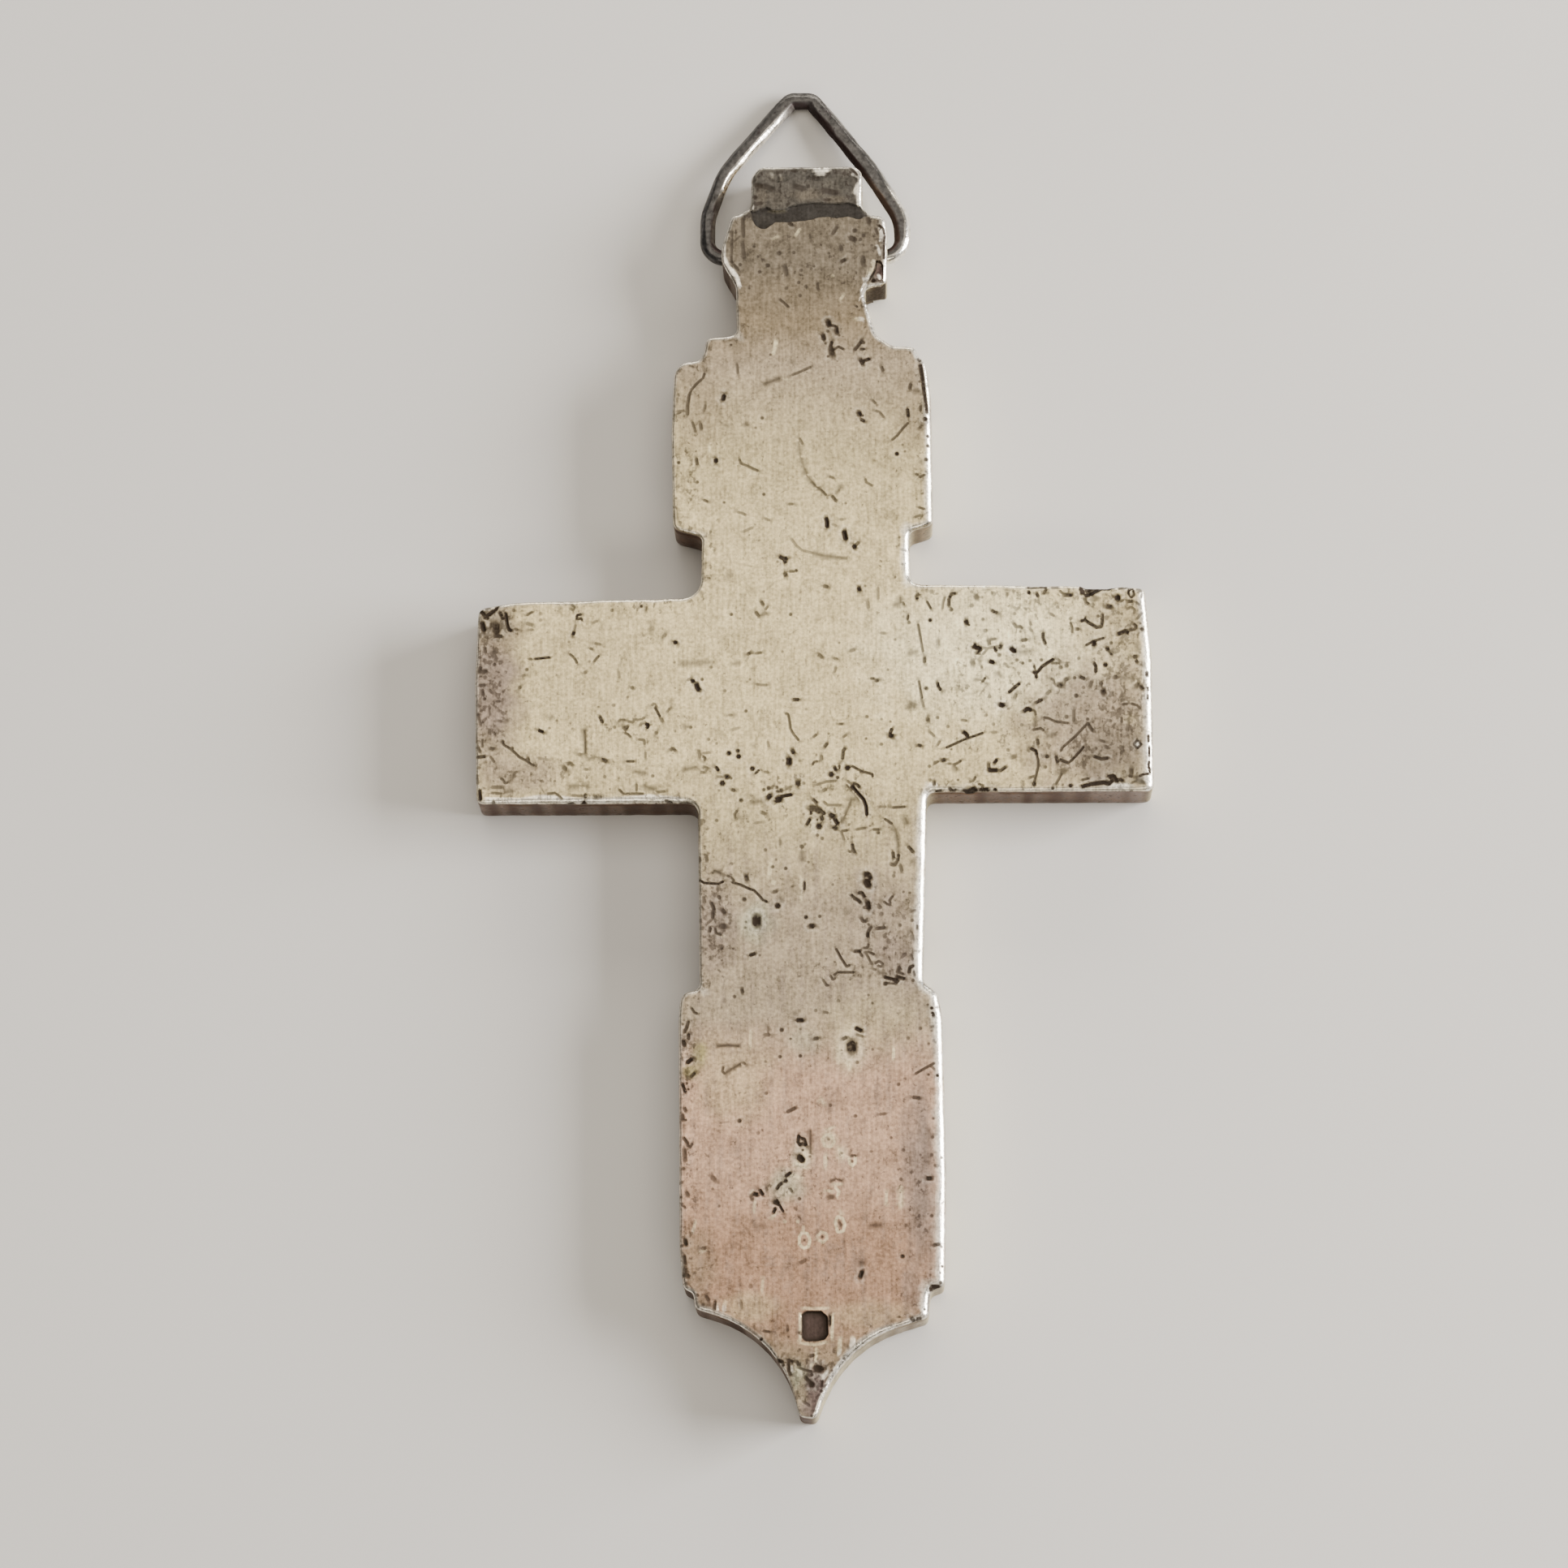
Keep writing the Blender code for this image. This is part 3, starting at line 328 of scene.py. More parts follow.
RIGHT_ARM_MARKS = (
    (5, .35, 1148, 729), (3, .7, 1142, 741, 5, 9), (4, .75, 1169, 746, 0, -8, 3, -6, 5, -1),
    (3, .45, 1161, 750, 1, -8, 2, -6), (5, .6, 1172, 751), (6, .55, 1202, 734, 2, 3),
    (3, .3, 1210, 736), (3, .45, 1241, 731, 0, 3), (5, .4, 1197, 746), (4, .75, 1222, 752, 3, 2, 3, 1),
    (3, .35, 1249, 748, 4, 3, 3, -3), (4, .4, 1250, 756), (5, .8, 1146, 764), (6, .85, 1190, 765, 1, 3),
    (3, .65, 1194, 770), (4, .45, 1211, 763), (5, .4, 1214, 777), (4, .6, 1249, 768, 3, 4, 5, 0, 2, 2),
    (3, .45, 1257, 778), (3, .45, 1269, 766, 1, 4), (3, .4, 1269, 775, 3, 3), (5, .35, 1156, 789, 0, 5),
    (5, 1, 1199, 797, 6, 1, 3, 2), (3, .85, 1201, 793, 1, 4), (5, .8, 1203, 804, 2, 0),
    (2, .45, 1208, 796, -5, -3), (3, .45, 1211, 798, 6, 1, 7, -2, 8, -1), (3, .5, 1216, 800, -5, 6),
    (4, .55, 1218, 789, 1, 5), (3, .5, 1221, 788, 6, -1), (5, .8, 1233, 795, -1, 3),
    (4, .9, 1226, 798, 1, 4), (5, .55, 1231, 807), (5, 1, 1220, 815, 4, 1), (6, .55, 1198, 815, 1, 3),
    (2, .35, 1205, 812, 2, 4), (3, .5, 1209, 821, 1, 2), (4, .35, 1238, 818),
    (6, 1, 1246, 799, 2, 2, 2, 1), (2, .3, 1252, 804, 18, -2), (4, .65, 1259, 789, 6, -1),
    (4, .35, 1261, 796), (4, .6, 1253, 813), (4, .65, 1260, 817), (4, .6, 1269, 814),
    (4, .6, 1283, 813), (2, .4, 1229, 829, 4, 4), (3, .75, 1210, 840, 4, -5),
    (2, .4, 1201, 837, 7, 1, 9, 5), (4, .3, 1192, 845), (4, .8, 1155, 841, 1, 5, 3, 4),
    (5, .75, 1141, 848), (4, .85, 1243, 853, 7, -6, 6, -5), (3, .5, 1248, 843),
    (4, .5, 1252, 855, -2, 5), (4, .85, 1273, 828, 5, 0, 6, -7, 6, -4, 8, -5),
    (3, .75, 1274, 820, 1, 6), (4, .8, 1276, 829, 1, 6), (4, .8, 1285, 780, 0, 6, 3, 7),
    (4, .7, 1289, 726, -3, 5), (3, .55, 1306, 728, 3, 3), (5, .75, 1312, 733, 8, 0),
    (5, .75, 1333, 729, 0, 2), (6, .4, 1346, 738, 5, -1), (4, .65, 1336, 737, 2, 5, 3, 2),
    (7, 1, 1377, 735, 0, 3), (3, .6, 1371, 735, 4, 1), (6, .8, 1364, 747, 5, 1),
    (3, .8, 1390, 731, 1, -5, 5, 0, 1, 7, -3, 3, -4, -5), (3, .55, 1401, 726, 4, 0, 2, 5, -1, 4),
    (4, .7, 1390, 741, 5, 0), (3, .55, 1400, 742, 4, 3), (3, .5, 1389, 750, 5, -2, 4, 3, -1, 5),
    (3, .45, 1407, 755, -4, 5, -2, 2), (4, .3, 1378, 755), (4, .35, 1303, 748),
    (3, .45, 1294, 756, 5, 3), (4, .8, 1332, 765, 5, -1, 4, 3, 7, 4, 3, 2), (3, .8, 1337, 761, 0, 3),
    (4, .75, 1351, 773, 6, -1, 1, -7, 0, -8), (4, .6, 1353, 759), (4, .5, 1319, 762),
    (3, .6, 1319, 767, 2, 6, 0, 6), (4, .65, 1326, 775, 3, 0), (4, .7, 1397, 769, 3, 3, -2, 3, -6, 1),
    (5, .85, 1378, 781, 5, -2, 4, -2, 2, 3), (5, .8, 1407, 775), (3, .55, 1405, 768),
    (3, .75, 1338, 795, 9, -5, 13, -4), (6, .95, 1347, 791, 1, 3), (4, .5, 1369, 792),
    (5, .8, 1364, 798, 1, 3), (3, .65, 1365, 801, 4, 5), (4, .7, 1369, 806), (4, .45, 1329, 811),
    (5, .75, 1397, 809, 3, 0), (4, .75, 1400, 814, 1, 2), (3, .45, 1303, 812, 4, 3),
    (3, .6, 1296, 817, 9, 0), (5, .6, 1307, 822), (5, .55, 1314, 820), (4, .85, 1348, 817, 2, 4, 0, 7),
    (6, .85, 1362, 819), (4, .8, 1413, 828, 0, 4), (4, .6, 1324, 835), (4, .75, 1331, 834, 5, 2),
    (5, .6, 1373, 834, 3, 0), (2, .3, 1382, 835, 13, 1), (5, .6, 1312, 838, 3, -2),
    (3, .5, 1295, 836, 3, 2, 1, 4, 3, 3), (7, .75, 1305, 844, 3, 0), (4, .55, 1345, 840, -2, 6),
    (4, .35, 1335, 847), (5, .65, 1357, 841, -1, 2), (6, .8, 1359, 850, 1, 4),
    (5, .65, 1403, 842, -3, 3), (5, .75, 1406, 846, 2, 3), (5, .65, 1326, 857), (4, .35, 1383, 855),
    (4, .45, 1294, 851, -4, 4), (5, .65, 1143, 885, 0, 3), (4, .5, 1155, 884), (3, .5, 1185, 887, 6, 1),
    (4, .4, 1168, 895), (3, .45, 1146, 902, 5, 5), (3, .5, 1155, 918, 3, -5),
    (5, .9, 1187, 902, 3, 2, 2, 3), (3, .8, 1166, 921, 9, -4, 13, -6, 12, -4, 11, -4),
    (3, .5, 1172, 923), (4, .4, 1215, 881), (4, .35, 1224, 892), (3, .35, 1222, 902, 6, 0),
    (4, .3, 1259, 893), (6, 1, 1232, 868, 4, 1), (5, .95, 1262, 876, 4, -3, 4, 2),
    (3, .6, 1270, 875, 5, 1, 1, 5), (2, .35, 1275, 885, 0, 12), (4, .7, 1276, 866, 4, -2, 4, -2),
    (3, .65, 1273, 899, 6, -1, 3, -1, 4, 3), (4, .7, 1278, 911, 1, 6), (4, .85, 1270, 922, 6, 3, 1, 4),
    (3, .65, 1277, 929, 2, 8, 0, 8, -3, 12, -2, 7), (5, .8, 1274, 965, 0, 2), (3, .6, 1269, 958, 6, -2),
    (4, .4, 1242, 924), (5, .5, 1247, 933, 3, -1), (4, .85, 1228, 936, -3, 4),
    (4, .65, 1218, 941, 0, 4), (5, 1, 1219, 949, 9, 0), (4, .75, 1232, 950, 7, -5),
    (5, .8, 1161, 937, 3, -1), (4, .5, 1152, 939), (4, .5, 1145, 944), (3, .5, 1168, 941, 3, 0),
    (3, .65, 1175, 942, 5, -2, 4, -3), (2, .5, 1175, 943, 4, 5), (3, .6, 1202, 957, -3, 5, -4, 1),
    (3, .7, 1206, 966, 5, 2), (4, .45, 1146, 961), (4, .65, 1151, 963, 0, 4), (4, .8, 1153, 975, 7, -1),
    (4, .75, 1170, 971, 4, 4, 4, -2), (9, .9, 1188, 976, 7, -1, 5, -2), (6, 1, 1209, 973, 8, 0),
    (5, .95, 1226, 973), (5, .8, 1281, 863), (4, .45, 1323, 875, 0, 13), (5, .5, 1314, 883),
    (3, .6, 1286, 884, 6, 1, 8, 4, 16, 2), (4, .6, 1340, 886),
    (3, .65, 1307, 925, 2, -4, 16, -14, 15, -16), (4, .65, 1340, 891, 6, 9),
    (2, .35, 1290, 907, 10, -2), (3, .45, 1355, 912, 6, 2), (4, .5, 1362, 920, 3, 1),
    (4, .4, 1350, 922), (4, .8, 1301, 932, 2, 7), (4, .75, 1306, 936, 10, 4),
    (3, .75, 1316, 940, 5, -4, 12, -13, 2, -3), (5, .75, 1290, 932), (4, .5, 1288, 945),
    (4, .75, 1348, 932, 9, 3, 8, -1), (3, .75, 1397, 917, 4, -5, 5, 5, -5, 5, -4, -5),
    (4, .45, 1368, 888), (3, .6, 1383, 868, 6, -1), (3, .6, 1394, 867, 7, 2, 4, 4),
    (3, .5, 1382, 884, 0, 6), (4, .4, 1390, 892, -1, 8), (7, .45, 1306, 951, 5, -1),
    (3, .6, 1308, 953, -4, 8, -3, 5), (5, .6, 1394, 948, 0, 5), (3, .7, 1391, 956, 4, 1),
    (3, .6, 1333, 961, 4, -1, 4, -1), (5, .9, 1333, 969, 12, -3, 15, -2, 6, 2, 4, -4),
    (5, .95, 1366, 957, 6, -1, 4, 7), (4, .8, 1380, 960, 3, 2), (5, .85, 1319, 968),
    (4, .75, 1297, 971), (3, .8, 1404, 956, 5, -2, 6, -1), (3, .85, 1415, 906, 0, 7),
    (3, .85, 1416, 920, 0, 11), (3, .9, 1416, 938, -1, 4, 2, 9), (3, .8, 1414, 847, 0, 3),
    (3, .75, 1414, 856, 0, 4),
    # Along the top rim of the right arm: pits and chips, darkened further as painted shade where the rim is
    # broken away
    (3, .8, 1266, 724, 11, 0, 12, -1), (4, .9, 1267, 729, 1, 2), (4, .75, 1277, 731, 2, 4),
    (6, 1, 1332, 725, 2, 4), (6, 1, 1339, 733, 7, -3, 8, -4), (5, .9, 1356, 725, 8, -1, 7, -1),
    (3, .7, 1379, 725, 9, -1), (3, .6, 1296, 724, 7, 0), (3, .6, 1384, 739, -3, 2),
)
FOOT_MARKS = (
    # The first mark is the notch in the foot's right side, painted dark as shade in its gap
    (11, .95, 1150, 1588, 6, 0), (3, .6, 1145, 1595, -1, 20), (3, .7, 1139, 1613),
    (5, .75, 1123, 1624, 3, 4), (4, .8, 1130, 1625, 4, -1), (4, .75, 1022, 1622, 0, 10),
    (3, .6, 941, 1640, 7, 1), (4, .85, 938, 1650), (3, .4, 970, 1633, 0, 7), (3, .55, 984, 1642, 3, 1),
    (4, .85, 959, 1676, 5, 2), (4, .7, 965, 1682), (4, .8, 971, 1676, 5, 2), (4, .7, 982, 1678, 2, 4),
    (4, .75, 971, 1680, 1, 10, 2, 4), (3, .6, 984, 1685, 7, 3, 9, 2), (8, 1, 1006, 1686, 5, 1),
    (3, .4, 1017, 1686), (4, .65, 1000, 1694), (4, .6, 992, 1697, 5, 5), (7, .9, 1000, 1706),
    (4, .6, 998, 1671, 4, -1), (3, .35, 985, 1663), (3, .5, 1025, 1689), (4, .7, 1040, 1674),
    (3, .65, 1013, 1702, -1, 6), (4, .55, 1012, 1714), (3, .5, 1000, 1745), (3, .4, 990, 1727, 7, 5),
)
HEAD_MARKS = (
    (5, .6, 931, 226, 7, 1), (5, .6, 930, 241), (4, .45, 933, 249, 5, -1), (6, .35, 942, 227, 10, 4),
    (6, .35, 979, 227, 11, 3), (2, .5, 1002, 216, 7, 1), (6, .4, 1014, 232, 16, 3),
    (3, .5, 1016, 244, 6, 0), (3, .6, 1048, 205, 8, 8), (4, .65, 972, 275, 4, 2), (5, .5, 946, 327),
    (4, .5, 936, 335), (5, .4, 960, 312), (3, .35, 934, 316), (5, .3, 967, 328, 2, 10),
    (4, .45, 912, 326), (3, .5, 961, 369, 5, 4, 5, 5), (3, .35, 929, 304), (4, .35, 978, 311),
    (4, .35, 987, 333), (4, .35, 984, 348), (4, .35, 993, 353), (4, .35, 986, 364), (4, .3, 969, 355),
    (3, .35, 923, 355), (4, .35, 915, 270, 1, 20), (4, .3, 915, 300, 2, 18), (3, .3, 902, 285, -1, 35),
    (3, .45, 901, 322, 9, 11), (5, .45, 1053, 284), (6, .55, 1048, 293, 5, 2), (4, .35, 1060, 295),
    (5, .5, 1069, 269, 2, 5), (4, .45, 1031, 280, -5, 8), (4, .35, 1036, 303, 1, 5),
    (4, .65, 1037, 322, 4, -2), (4, .35, 1064, 290), (4, .4, 1079, 305), (5, .3, 1063, 317, 1, 9),
    (3, .35, 1003, 328), (3, .4, 1007, 349, 1, 7), (3, .3, 1021, 312), (3, .35, 1074, 302),
    (3, .45, 1079, 282, 2, 6), (3, .85, 1083, 278, 5, 3, 2, 9, -1, 10, 0, 18), (5, .95, 1076, 344),
)

# Painted highlights, charted in the same way: width, strength and places. Most are light caught on the
# rounded edges, in the punch and on the lug; some are metal rubbed bright
GLINTS = (
    (6, .9, 620, 742, 40, -3, 60, -1, 60, 0, 65, -3),
    (4, .8, 592, 746, 18, -3),
    (6, .85, 600, 986, 40, 1, 25, -4, 25, 1, 30, 4, 40, -2, 40, -4, 38, 4),
    (3, .6, 588, 770, -1, 50), (3, .45, 586, 840, 0, 60), (3, .6, 587, 930, 1, 40),
    (5, .75, 895, 282, -4, 18, 0, 16, 5, 12, 8, 9), (4, .85, 902, 333, 6, 8, 3, 11),
    (6, .8, 903, 263, 9, 0), (3, .7, 926, 226, 1, 28), (2, .3, 951, 211, 1, 5), (2, .25, 960, 213, 3, 5),
    (5, 1, 1004, 207, 16, 0), (4, .7, 1008, 212, 6, 0), (6, .9, 1055, 234, 3, -8, 1, 24),
    (5, .8, 1058, 236, 1, 14), (3, .6, 1050, 212, 8, 4), (3, .6, 948, 258, 10, 1, 10, -1),
    (5, 1, 1091, 266, 0, 82), (2, .9, 1077, 322, -1, 8, -4, 7, -4, 8), (1, .4, 1069, 332, -2, 9),
    (3, 1, 1083, 338, 1, 3), (3, .6, 1084, 279, 2, 8, -1, 8), (3, .6, 1081, 303, 3, 9),
    (4, .8, 1066, 350, -4, 8, 4, 12, 5, 12), (3, .8, 1064, 266, 7, -3),
    (3, .5, 985, 283, -4, 6), (3, .4, 953, 294, 4, -2), (4, .4, 1026, 340), (3, .45, 1036, 368, 3, -4),
    (4, .9, 956, 422, -3, 13), (3, .8, 874, 550, 0, 4), (4, .5, 925, 583, 6, 0), (3, .4, 966, 466, 4, 2),
    (4, .5, 1055, 393, 7, 0), (4, .7, 1083, 884, 3, 2), (5, .55, 1081, 881, 6, 0),
    (5, .7, 1000, 1012, 3, 8, 2, 6), (4, .6, 951, 1062, -2, 8, -1, 8), (5, .95, 953, 1087),
    (4, .55, 987, 1084, 0, 10), (3, .45, 987, 1104, 0, 6), (3, .45, 930, 1089, 0, 6),
    (3, .5, 883, 1151, 6, 2), (3, .5, 925, 1271, -1, 20), (4, .5, 1052, 1263, -4, 8),
    (5, .45, 1033, 1292, 0, 14), (5, .5, 1045, 1308, 2, 8), (3, .9, 1101, 1293, 0, 10),
    (3, .7, 1018, 1398, -5, 6, 3, 8, 8, 1, 4, -6, -3, -8, -7, -1), (3, .6, 1021, 1391, 5, -2),
    (4, .45, 1034, 1416, 4, 8), (4, .55, 1017, 1425, 0, 12), (2, .5, 1012, 1356, 3, 4),
    (3, .85, 1046, 1427, 1, 6, 3, 4, 4, -5, 0, -6), (3, .6, 1027, 1459, 9, 0), (3, .6, 1020, 1467, 5, 1),
    (3, .8, 1029, 1463, 5, 5, -2, 5), (3, .65, 1092, 1470, 0, 11), (2, .55, 1110, 1462, 0, 24),
    (3, .85, 985, 1524, 3, -5, 7, 1, 3, 8, -2, 8, -6, 2, -5, -5, 0, -9), (3, .45, 990, 1516, 0, -4),
    (3, .85, 1029, 1505, 3, -6, 6, 2, 3, 8, -2, 8, -7, 1, -3, -13), (2, .5, 1036, 1497, 0, -3),
    (3, .65, 1008, 1522, 4, -4, 6, 2, 1, 6, -5, 5, -5, -3), (4, .5, 967, 1505), (4, .5, 983, 1505),
    (4, .6, 952, 1499, 3, -4), (3, .5, 930, 1480, -1, 12), (3, .6, 927, 1468, -2, 4),
    (3, .5, 857, 1505, -3, 12), (2, .5, 866, 1541, 3, 0), (3, .5, 940, 1578, -1, 12),
    (4, .8, 992, 1419, 0, 14), (4, .7, 981, 1434, 12, 4), (4, .6, 976, 1448, 8, 2),
    (3, .85, 986, 1620, 0, 28), (3, .6, 988, 1655, 16, 2, 12, -3), (3, .8, 1026, 1622, -1, 26),
    (3, .6, 990, 1612, 28, 0), (4, .7, 1035, 1651, -1, 16), (5, .7, 1051, 1650, -1, 8),
    (3, .7, 1006, 1664, -1, 12), (4, .6, 1000, 1682), (4, .5, 1018, 1692, -4, 6),
    (3, .5, 975, 1684, 1, 6), (4, .85, 1120, 1634, -30, 7, -24, 11), (5, .9, 1061, 1655, -17, 15, -14, 17),
    (4, 1, 1030, 1687, -12, 21, -8, 20, -6, 18),
    (5, .95, 1149, 1582, -7, 7, -1, 16, -4, 15), (3, .5, 882, 1606, 2, 8), (4, .4, 893, 1606, -1, 8),
    (5, .9, 1146, 968, 6, -1), (7, .6, 1002, 1017, 0, 6),
)

# Areas that lie lower than the back plate: the tab and what the plate leaves bare above its
# ragged head edge, the dark band between the two, the ledge, the punch, and the gouge, the
# nick and the chip in the rim
Sunk = namedtuple("Sunk", "name depth slope ragged corners")
PLATE_HEAD = (
    (870, 264), (902, 262), (916, 259), (924, 258), (926, 263), (927, 270), (932, 278), (938, 281),
    (944, 281), (948, 278), (955, 273), (968, 273), (985, 272), (1000, 270), (1008, 267), (1020, 266),
    (1031, 268), (1045, 266), (1056, 269), (1061, 269), (1066, 266), (1073, 264), (1084, 261), (1110, 258),
)
TAB_FOOT = (
    (1110, 258), (1074, 264), (1064, 258), (1059, 252), (1045, 248), (1024, 249), (1003, 248), (985, 250),
    (972, 253), (967, 257), (957, 258), (950, 257), (945, 253), (936, 256), (930, 259), (924, 258),
)
SUNK = (
    Sunk("tab", 0.35, 0.09, 0.03, PLATE_HEAD + ((1110, 180), (870, 180))),
    Sunk("band", 0.13, 0.10, 0.03, PLATE_HEAD[3:] + TAB_FOOT[:-1]),
    Sunk("ledge", 0.32, 0.08, 0.02, (
        (1080, 321), (1085, 322), (1088, 328), (1088, 372), (1058, 372), (1064, 353), (1070, 347),
        (1074, 339), (1079, 331),
    )),
    Sunk("punch", 0.20, 0.10, 0.01, (
        (988, 1620), (992, 1616), (1012, 1616), (1019, 1622), (1020, 1644), (1016, 1650), (1006, 1652),
        (992, 1652), (988, 1648),
    )),
    Sunk("gouge", 0.60, 0.42, 0.14, (
        (1334, 700), (1335, 722), (1338, 730), (1343, 731), (1348, 728), (1353, 725), (1362, 727),
        (1369, 723), (1377, 720), (1379, 700),
    )),
    Sunk("nick", 0.22, 0.20, 0.10, (
        (1266, 712), (1268, 722), (1272, 724), (1276, 721), (1292, 722), (1294, 712),
    )),
    Sunk("chip", 0.45, 0.30, 0.10, (
        (1184, 990), (1187, 978), (1189, 973), (1200, 972), (1202, 977), (1200, 990),
    )),
)

# Broad tones down the back, by the photograph's rows: the metal's own tones, and painted light that is
# brightest in the middle and darker towards the head and the foot
TONES_DOWN = (
    (200, "soot"), (262, "soot"), (270, "umber"), (330, "umber"), (400, "dun"), (450, "tan"),
    (560, "sand"), (680, "cream"), (930, "cream"), (1010, "sand"), (1120, "tan"), (1250, "tan"),
    (1330, "blush"), (1440, "blush"), (1530, "rose"), (1600, "rose"), (1690, "dun"), (1760, "umber"),
)

# Places that dark specks and bright flecks crowd: middle, half width, half height, density
Foul = namedtuple("Foul", "x y across down strength")
FOULED = (
    Foul(603, 850, 28, 120, 0.85),
    Foul(612, 768, 36, 26, 1.00),
    Foul(650, 955, 90, 26, 0.55),
    Foul(780, 915, 110, 60, 0.25),
    Foul(1385, 850, 45, 130, 0.75),
    Foul(1330, 915, 90, 60, 0.70),
    Foul(1330, 740, 100, 26, 0.60),
    Foul(1250, 860, 130, 120, 0.35),
    Foul(1000, 990, 120, 60, 0.40),
    Foul(880, 1130, 30, 90, 0.70),
    Foul(1100, 1150, 50, 70, 0.55),
    Foul(1060, 1195, 90, 14, 0.60),
    Foul(853, 560, 14, 110, 0.60),
    Foul(1138, 540, 12, 100, 0.60),
    Foul(1000, 315, 95, 45, 0.35),
    Foul(1000, 225, 80, 40, 0.45),
    Foul(850, 1300, 10, 60, 0.90),
    Foul(850, 1450, 10, 120, 0.65),
    Foul(975, 1460, 60, 60, 0.35),
    Foul(1120, 1450, 40, 150, 0.35),
    Foul(860, 1580, 26, 60, 0.50),
    Foul(1000, 1690, 45, 34, 0.90),
    Foul(930, 1640, 50, 26, 0.40),
    Foul(1150, 1590, 26, 20, 0.80),
)

# Softer or harder patches over them, some of them painted light and shade: middle, half width, half height,
# tone and strength
Patch = namedtuple("Patch", "x y across down tone strength")
PATCHES = (
    # A painted highlight: the broad reflection of the light on the right arm
    Patch(1220, 800, 165, 105, "pale", 1.00),
    Patch(730, 830, 110, 90, "sand", 0.35),
    Patch(1000, 690, 80, 110, "cream", 0.60),
    # Painted shade with a mauve tinge, darker towards the lower end of the right arm
    Patch(1352, 895, 105, 100, "mauve", 0.74),
    Patch(1375, 935, 55, 50, "slate", 0.35),
    Patch(1375, 770, 60, 45, "dun", 0.45),
    Patch(1270, 895, 40, 55, "dun", 0.25),
    Patch(605, 850, 44, 115, "mauve", 0.90),
    Patch(612, 770, 40, 35, "dun", 0.75),
    Patch(640, 955, 60, 30, "mauve", 0.55),
    Patch(860, 500, 34, 70, "dun", 0.45),
    Patch(1125, 500, 30, 70, "dun", 0.40),
    Patch(880, 1140, 28, 70, "mauve", 0.55),
    Patch(1105, 1180, 30, 35, "mauve", 0.50),
    Patch(1085, 1130, 40, 60, "mauve", 0.30),
    Patch(1135, 1450, 26, 120, "mauve", 0.55),
    Patch(856, 1560, 30, 55, "dun", 0.55),
    Patch(1000, 1625, 90, 30, "rose", 0.55),
    Patch(862, 1299, 11, 20, "olive", 1.00),
    Patch(850, 1321, 12, 12, "olive", 0.85),
    Patch(932, 1135, 24, 28, "sage", 0.60),
    Patch(1047, 1290, 22, 34, "pale", 0.40),
    Patch(992, 1282, 24, 20, "sage", 0.35),
    Patch(968, 1460, 26, 24, "sage", 0.60),
    Patch(988, 1424, 14, 22, "pale", 0.45),
    Patch(1022, 1402, 9, 13, "pale", 0.35),
    Patch(1037, 1421, 9, 12, "pale", 0.35),
    Patch(1135, 1440, 13, 130, "mauve", 0.60),
    Patch(1116, 1420, 9, 90, "mauve", 0.35),
    Patch(1122, 1590, 14, 40, "mauve", 0.45),
    Patch(866, 1610, 14, 14, "moss", 0.55),
    Patch(925, 1610, 40, 20, "sand", 0.40),
    Patch(1070, 1620, 60, 20, "sand", 0.30),
    Patch(905, 1330, 55, 60, "sand", 0.45),
    Patch(1070, 1260, 70, 40, "sand", 0.40),
    # Small painted highlights where pits and worn spots catch the light
    Patch(1401, 917, 4, 5, "bright", 0.95),
    Patch(1394, 731, 3, 4, "pale", 0.60),
    Patch(1248, 800, 9, 8, "bright", 0.35),
    Patch(1234, 868, 9, 7, "bright", 0.35),
    Patch(1271, 882, 8, 12, "cream", 0.80),
    Patch(1392, 885, 11, 8, "sand", 0.55),
    Patch(985, 1697, 12, 18, "sage", 0.60),
    Patch(993, 1703, 7, 9, "olive", 0.50),
    Patch(1005, 1716, 20, 42, "plum", 1.00),
    Patch(987, 1724, 6, 24, "tan", 0.80),
    Patch(993, 1735, 9, 9, "mauve", 0.80),
    Patch(955, 243, 15, 14, "umber", 0.60),
    Patch(938, 238, 10, 14, "dun", 0.60),
    Patch(995, 238, 24, 9, "dun", 0.60),
    Patch(1030, 244, 16, 7, "dun", 0.55),
    Patch(1030, 222, 26, 14, "moss", 0.55),
    Patch(1000, 214, 40, 8, "slate", 0.50),
    Patch(995, 261, 62, 9, "slate", 0.80),
    Patch(940, 270, 12, 10, "moss", 0.60),
    Patch(1084, 338, 8, 18, "plum", 0.95),
    Patch(1406, 962, 9, 9, "slate", 0.85),
    # Painted highlights on the rim of the right arm's end and by the gouge
    Patch(1380, 968, 17, 4, "bright", 0.80),
    Patch(1419, 964, 5, 9, "bright", 1.00),
    Patch(1350, 720, 12, 5, "bright", 0.50),
)

# Tones of the metal, as the shader's base colours. The bright and pale tones also serve for painted
# highlights, and the red-brown wall tone is painted shade with a warm painted reflection in it
TONES = {
    "bright": (0.95, 0.91, 0.82),
    "pale": (0.78, 0.70, 0.46),
    "cream": (0.582, 0.493, 0.294),
    "sand": (0.464, 0.394, 0.238),
    "tan": (0.325, 0.270, 0.195),
    "dun": (0.205, 0.165, 0.112),
    "umber": (0.142, 0.121, 0.094),
    "soot": (0.078, 0.071, 0.062),
    "pewter": (0.112, 0.103, 0.092),
    "slate": (0.040, 0.040, 0.040),
    "moss": (0.082, 0.078, 0.058),
    "mauve": (0.202, 0.160, 0.142),
    "blush": (0.432, 0.290, 0.208),
    "rose": (0.325, 0.207, 0.142),
    "olive": (0.250, 0.220, 0.100),
    "sage": (0.420, 0.420, 0.300),
    "plum": (0.095, 0.068, 0.066),
    # Painted shade for the walls that face the foot and the left, with a warm painted reflection in it
    "shaded_wall_red": (0.110, 0.045, 0.025),
    "steel": (0.095, 0.092, 0.092),
}


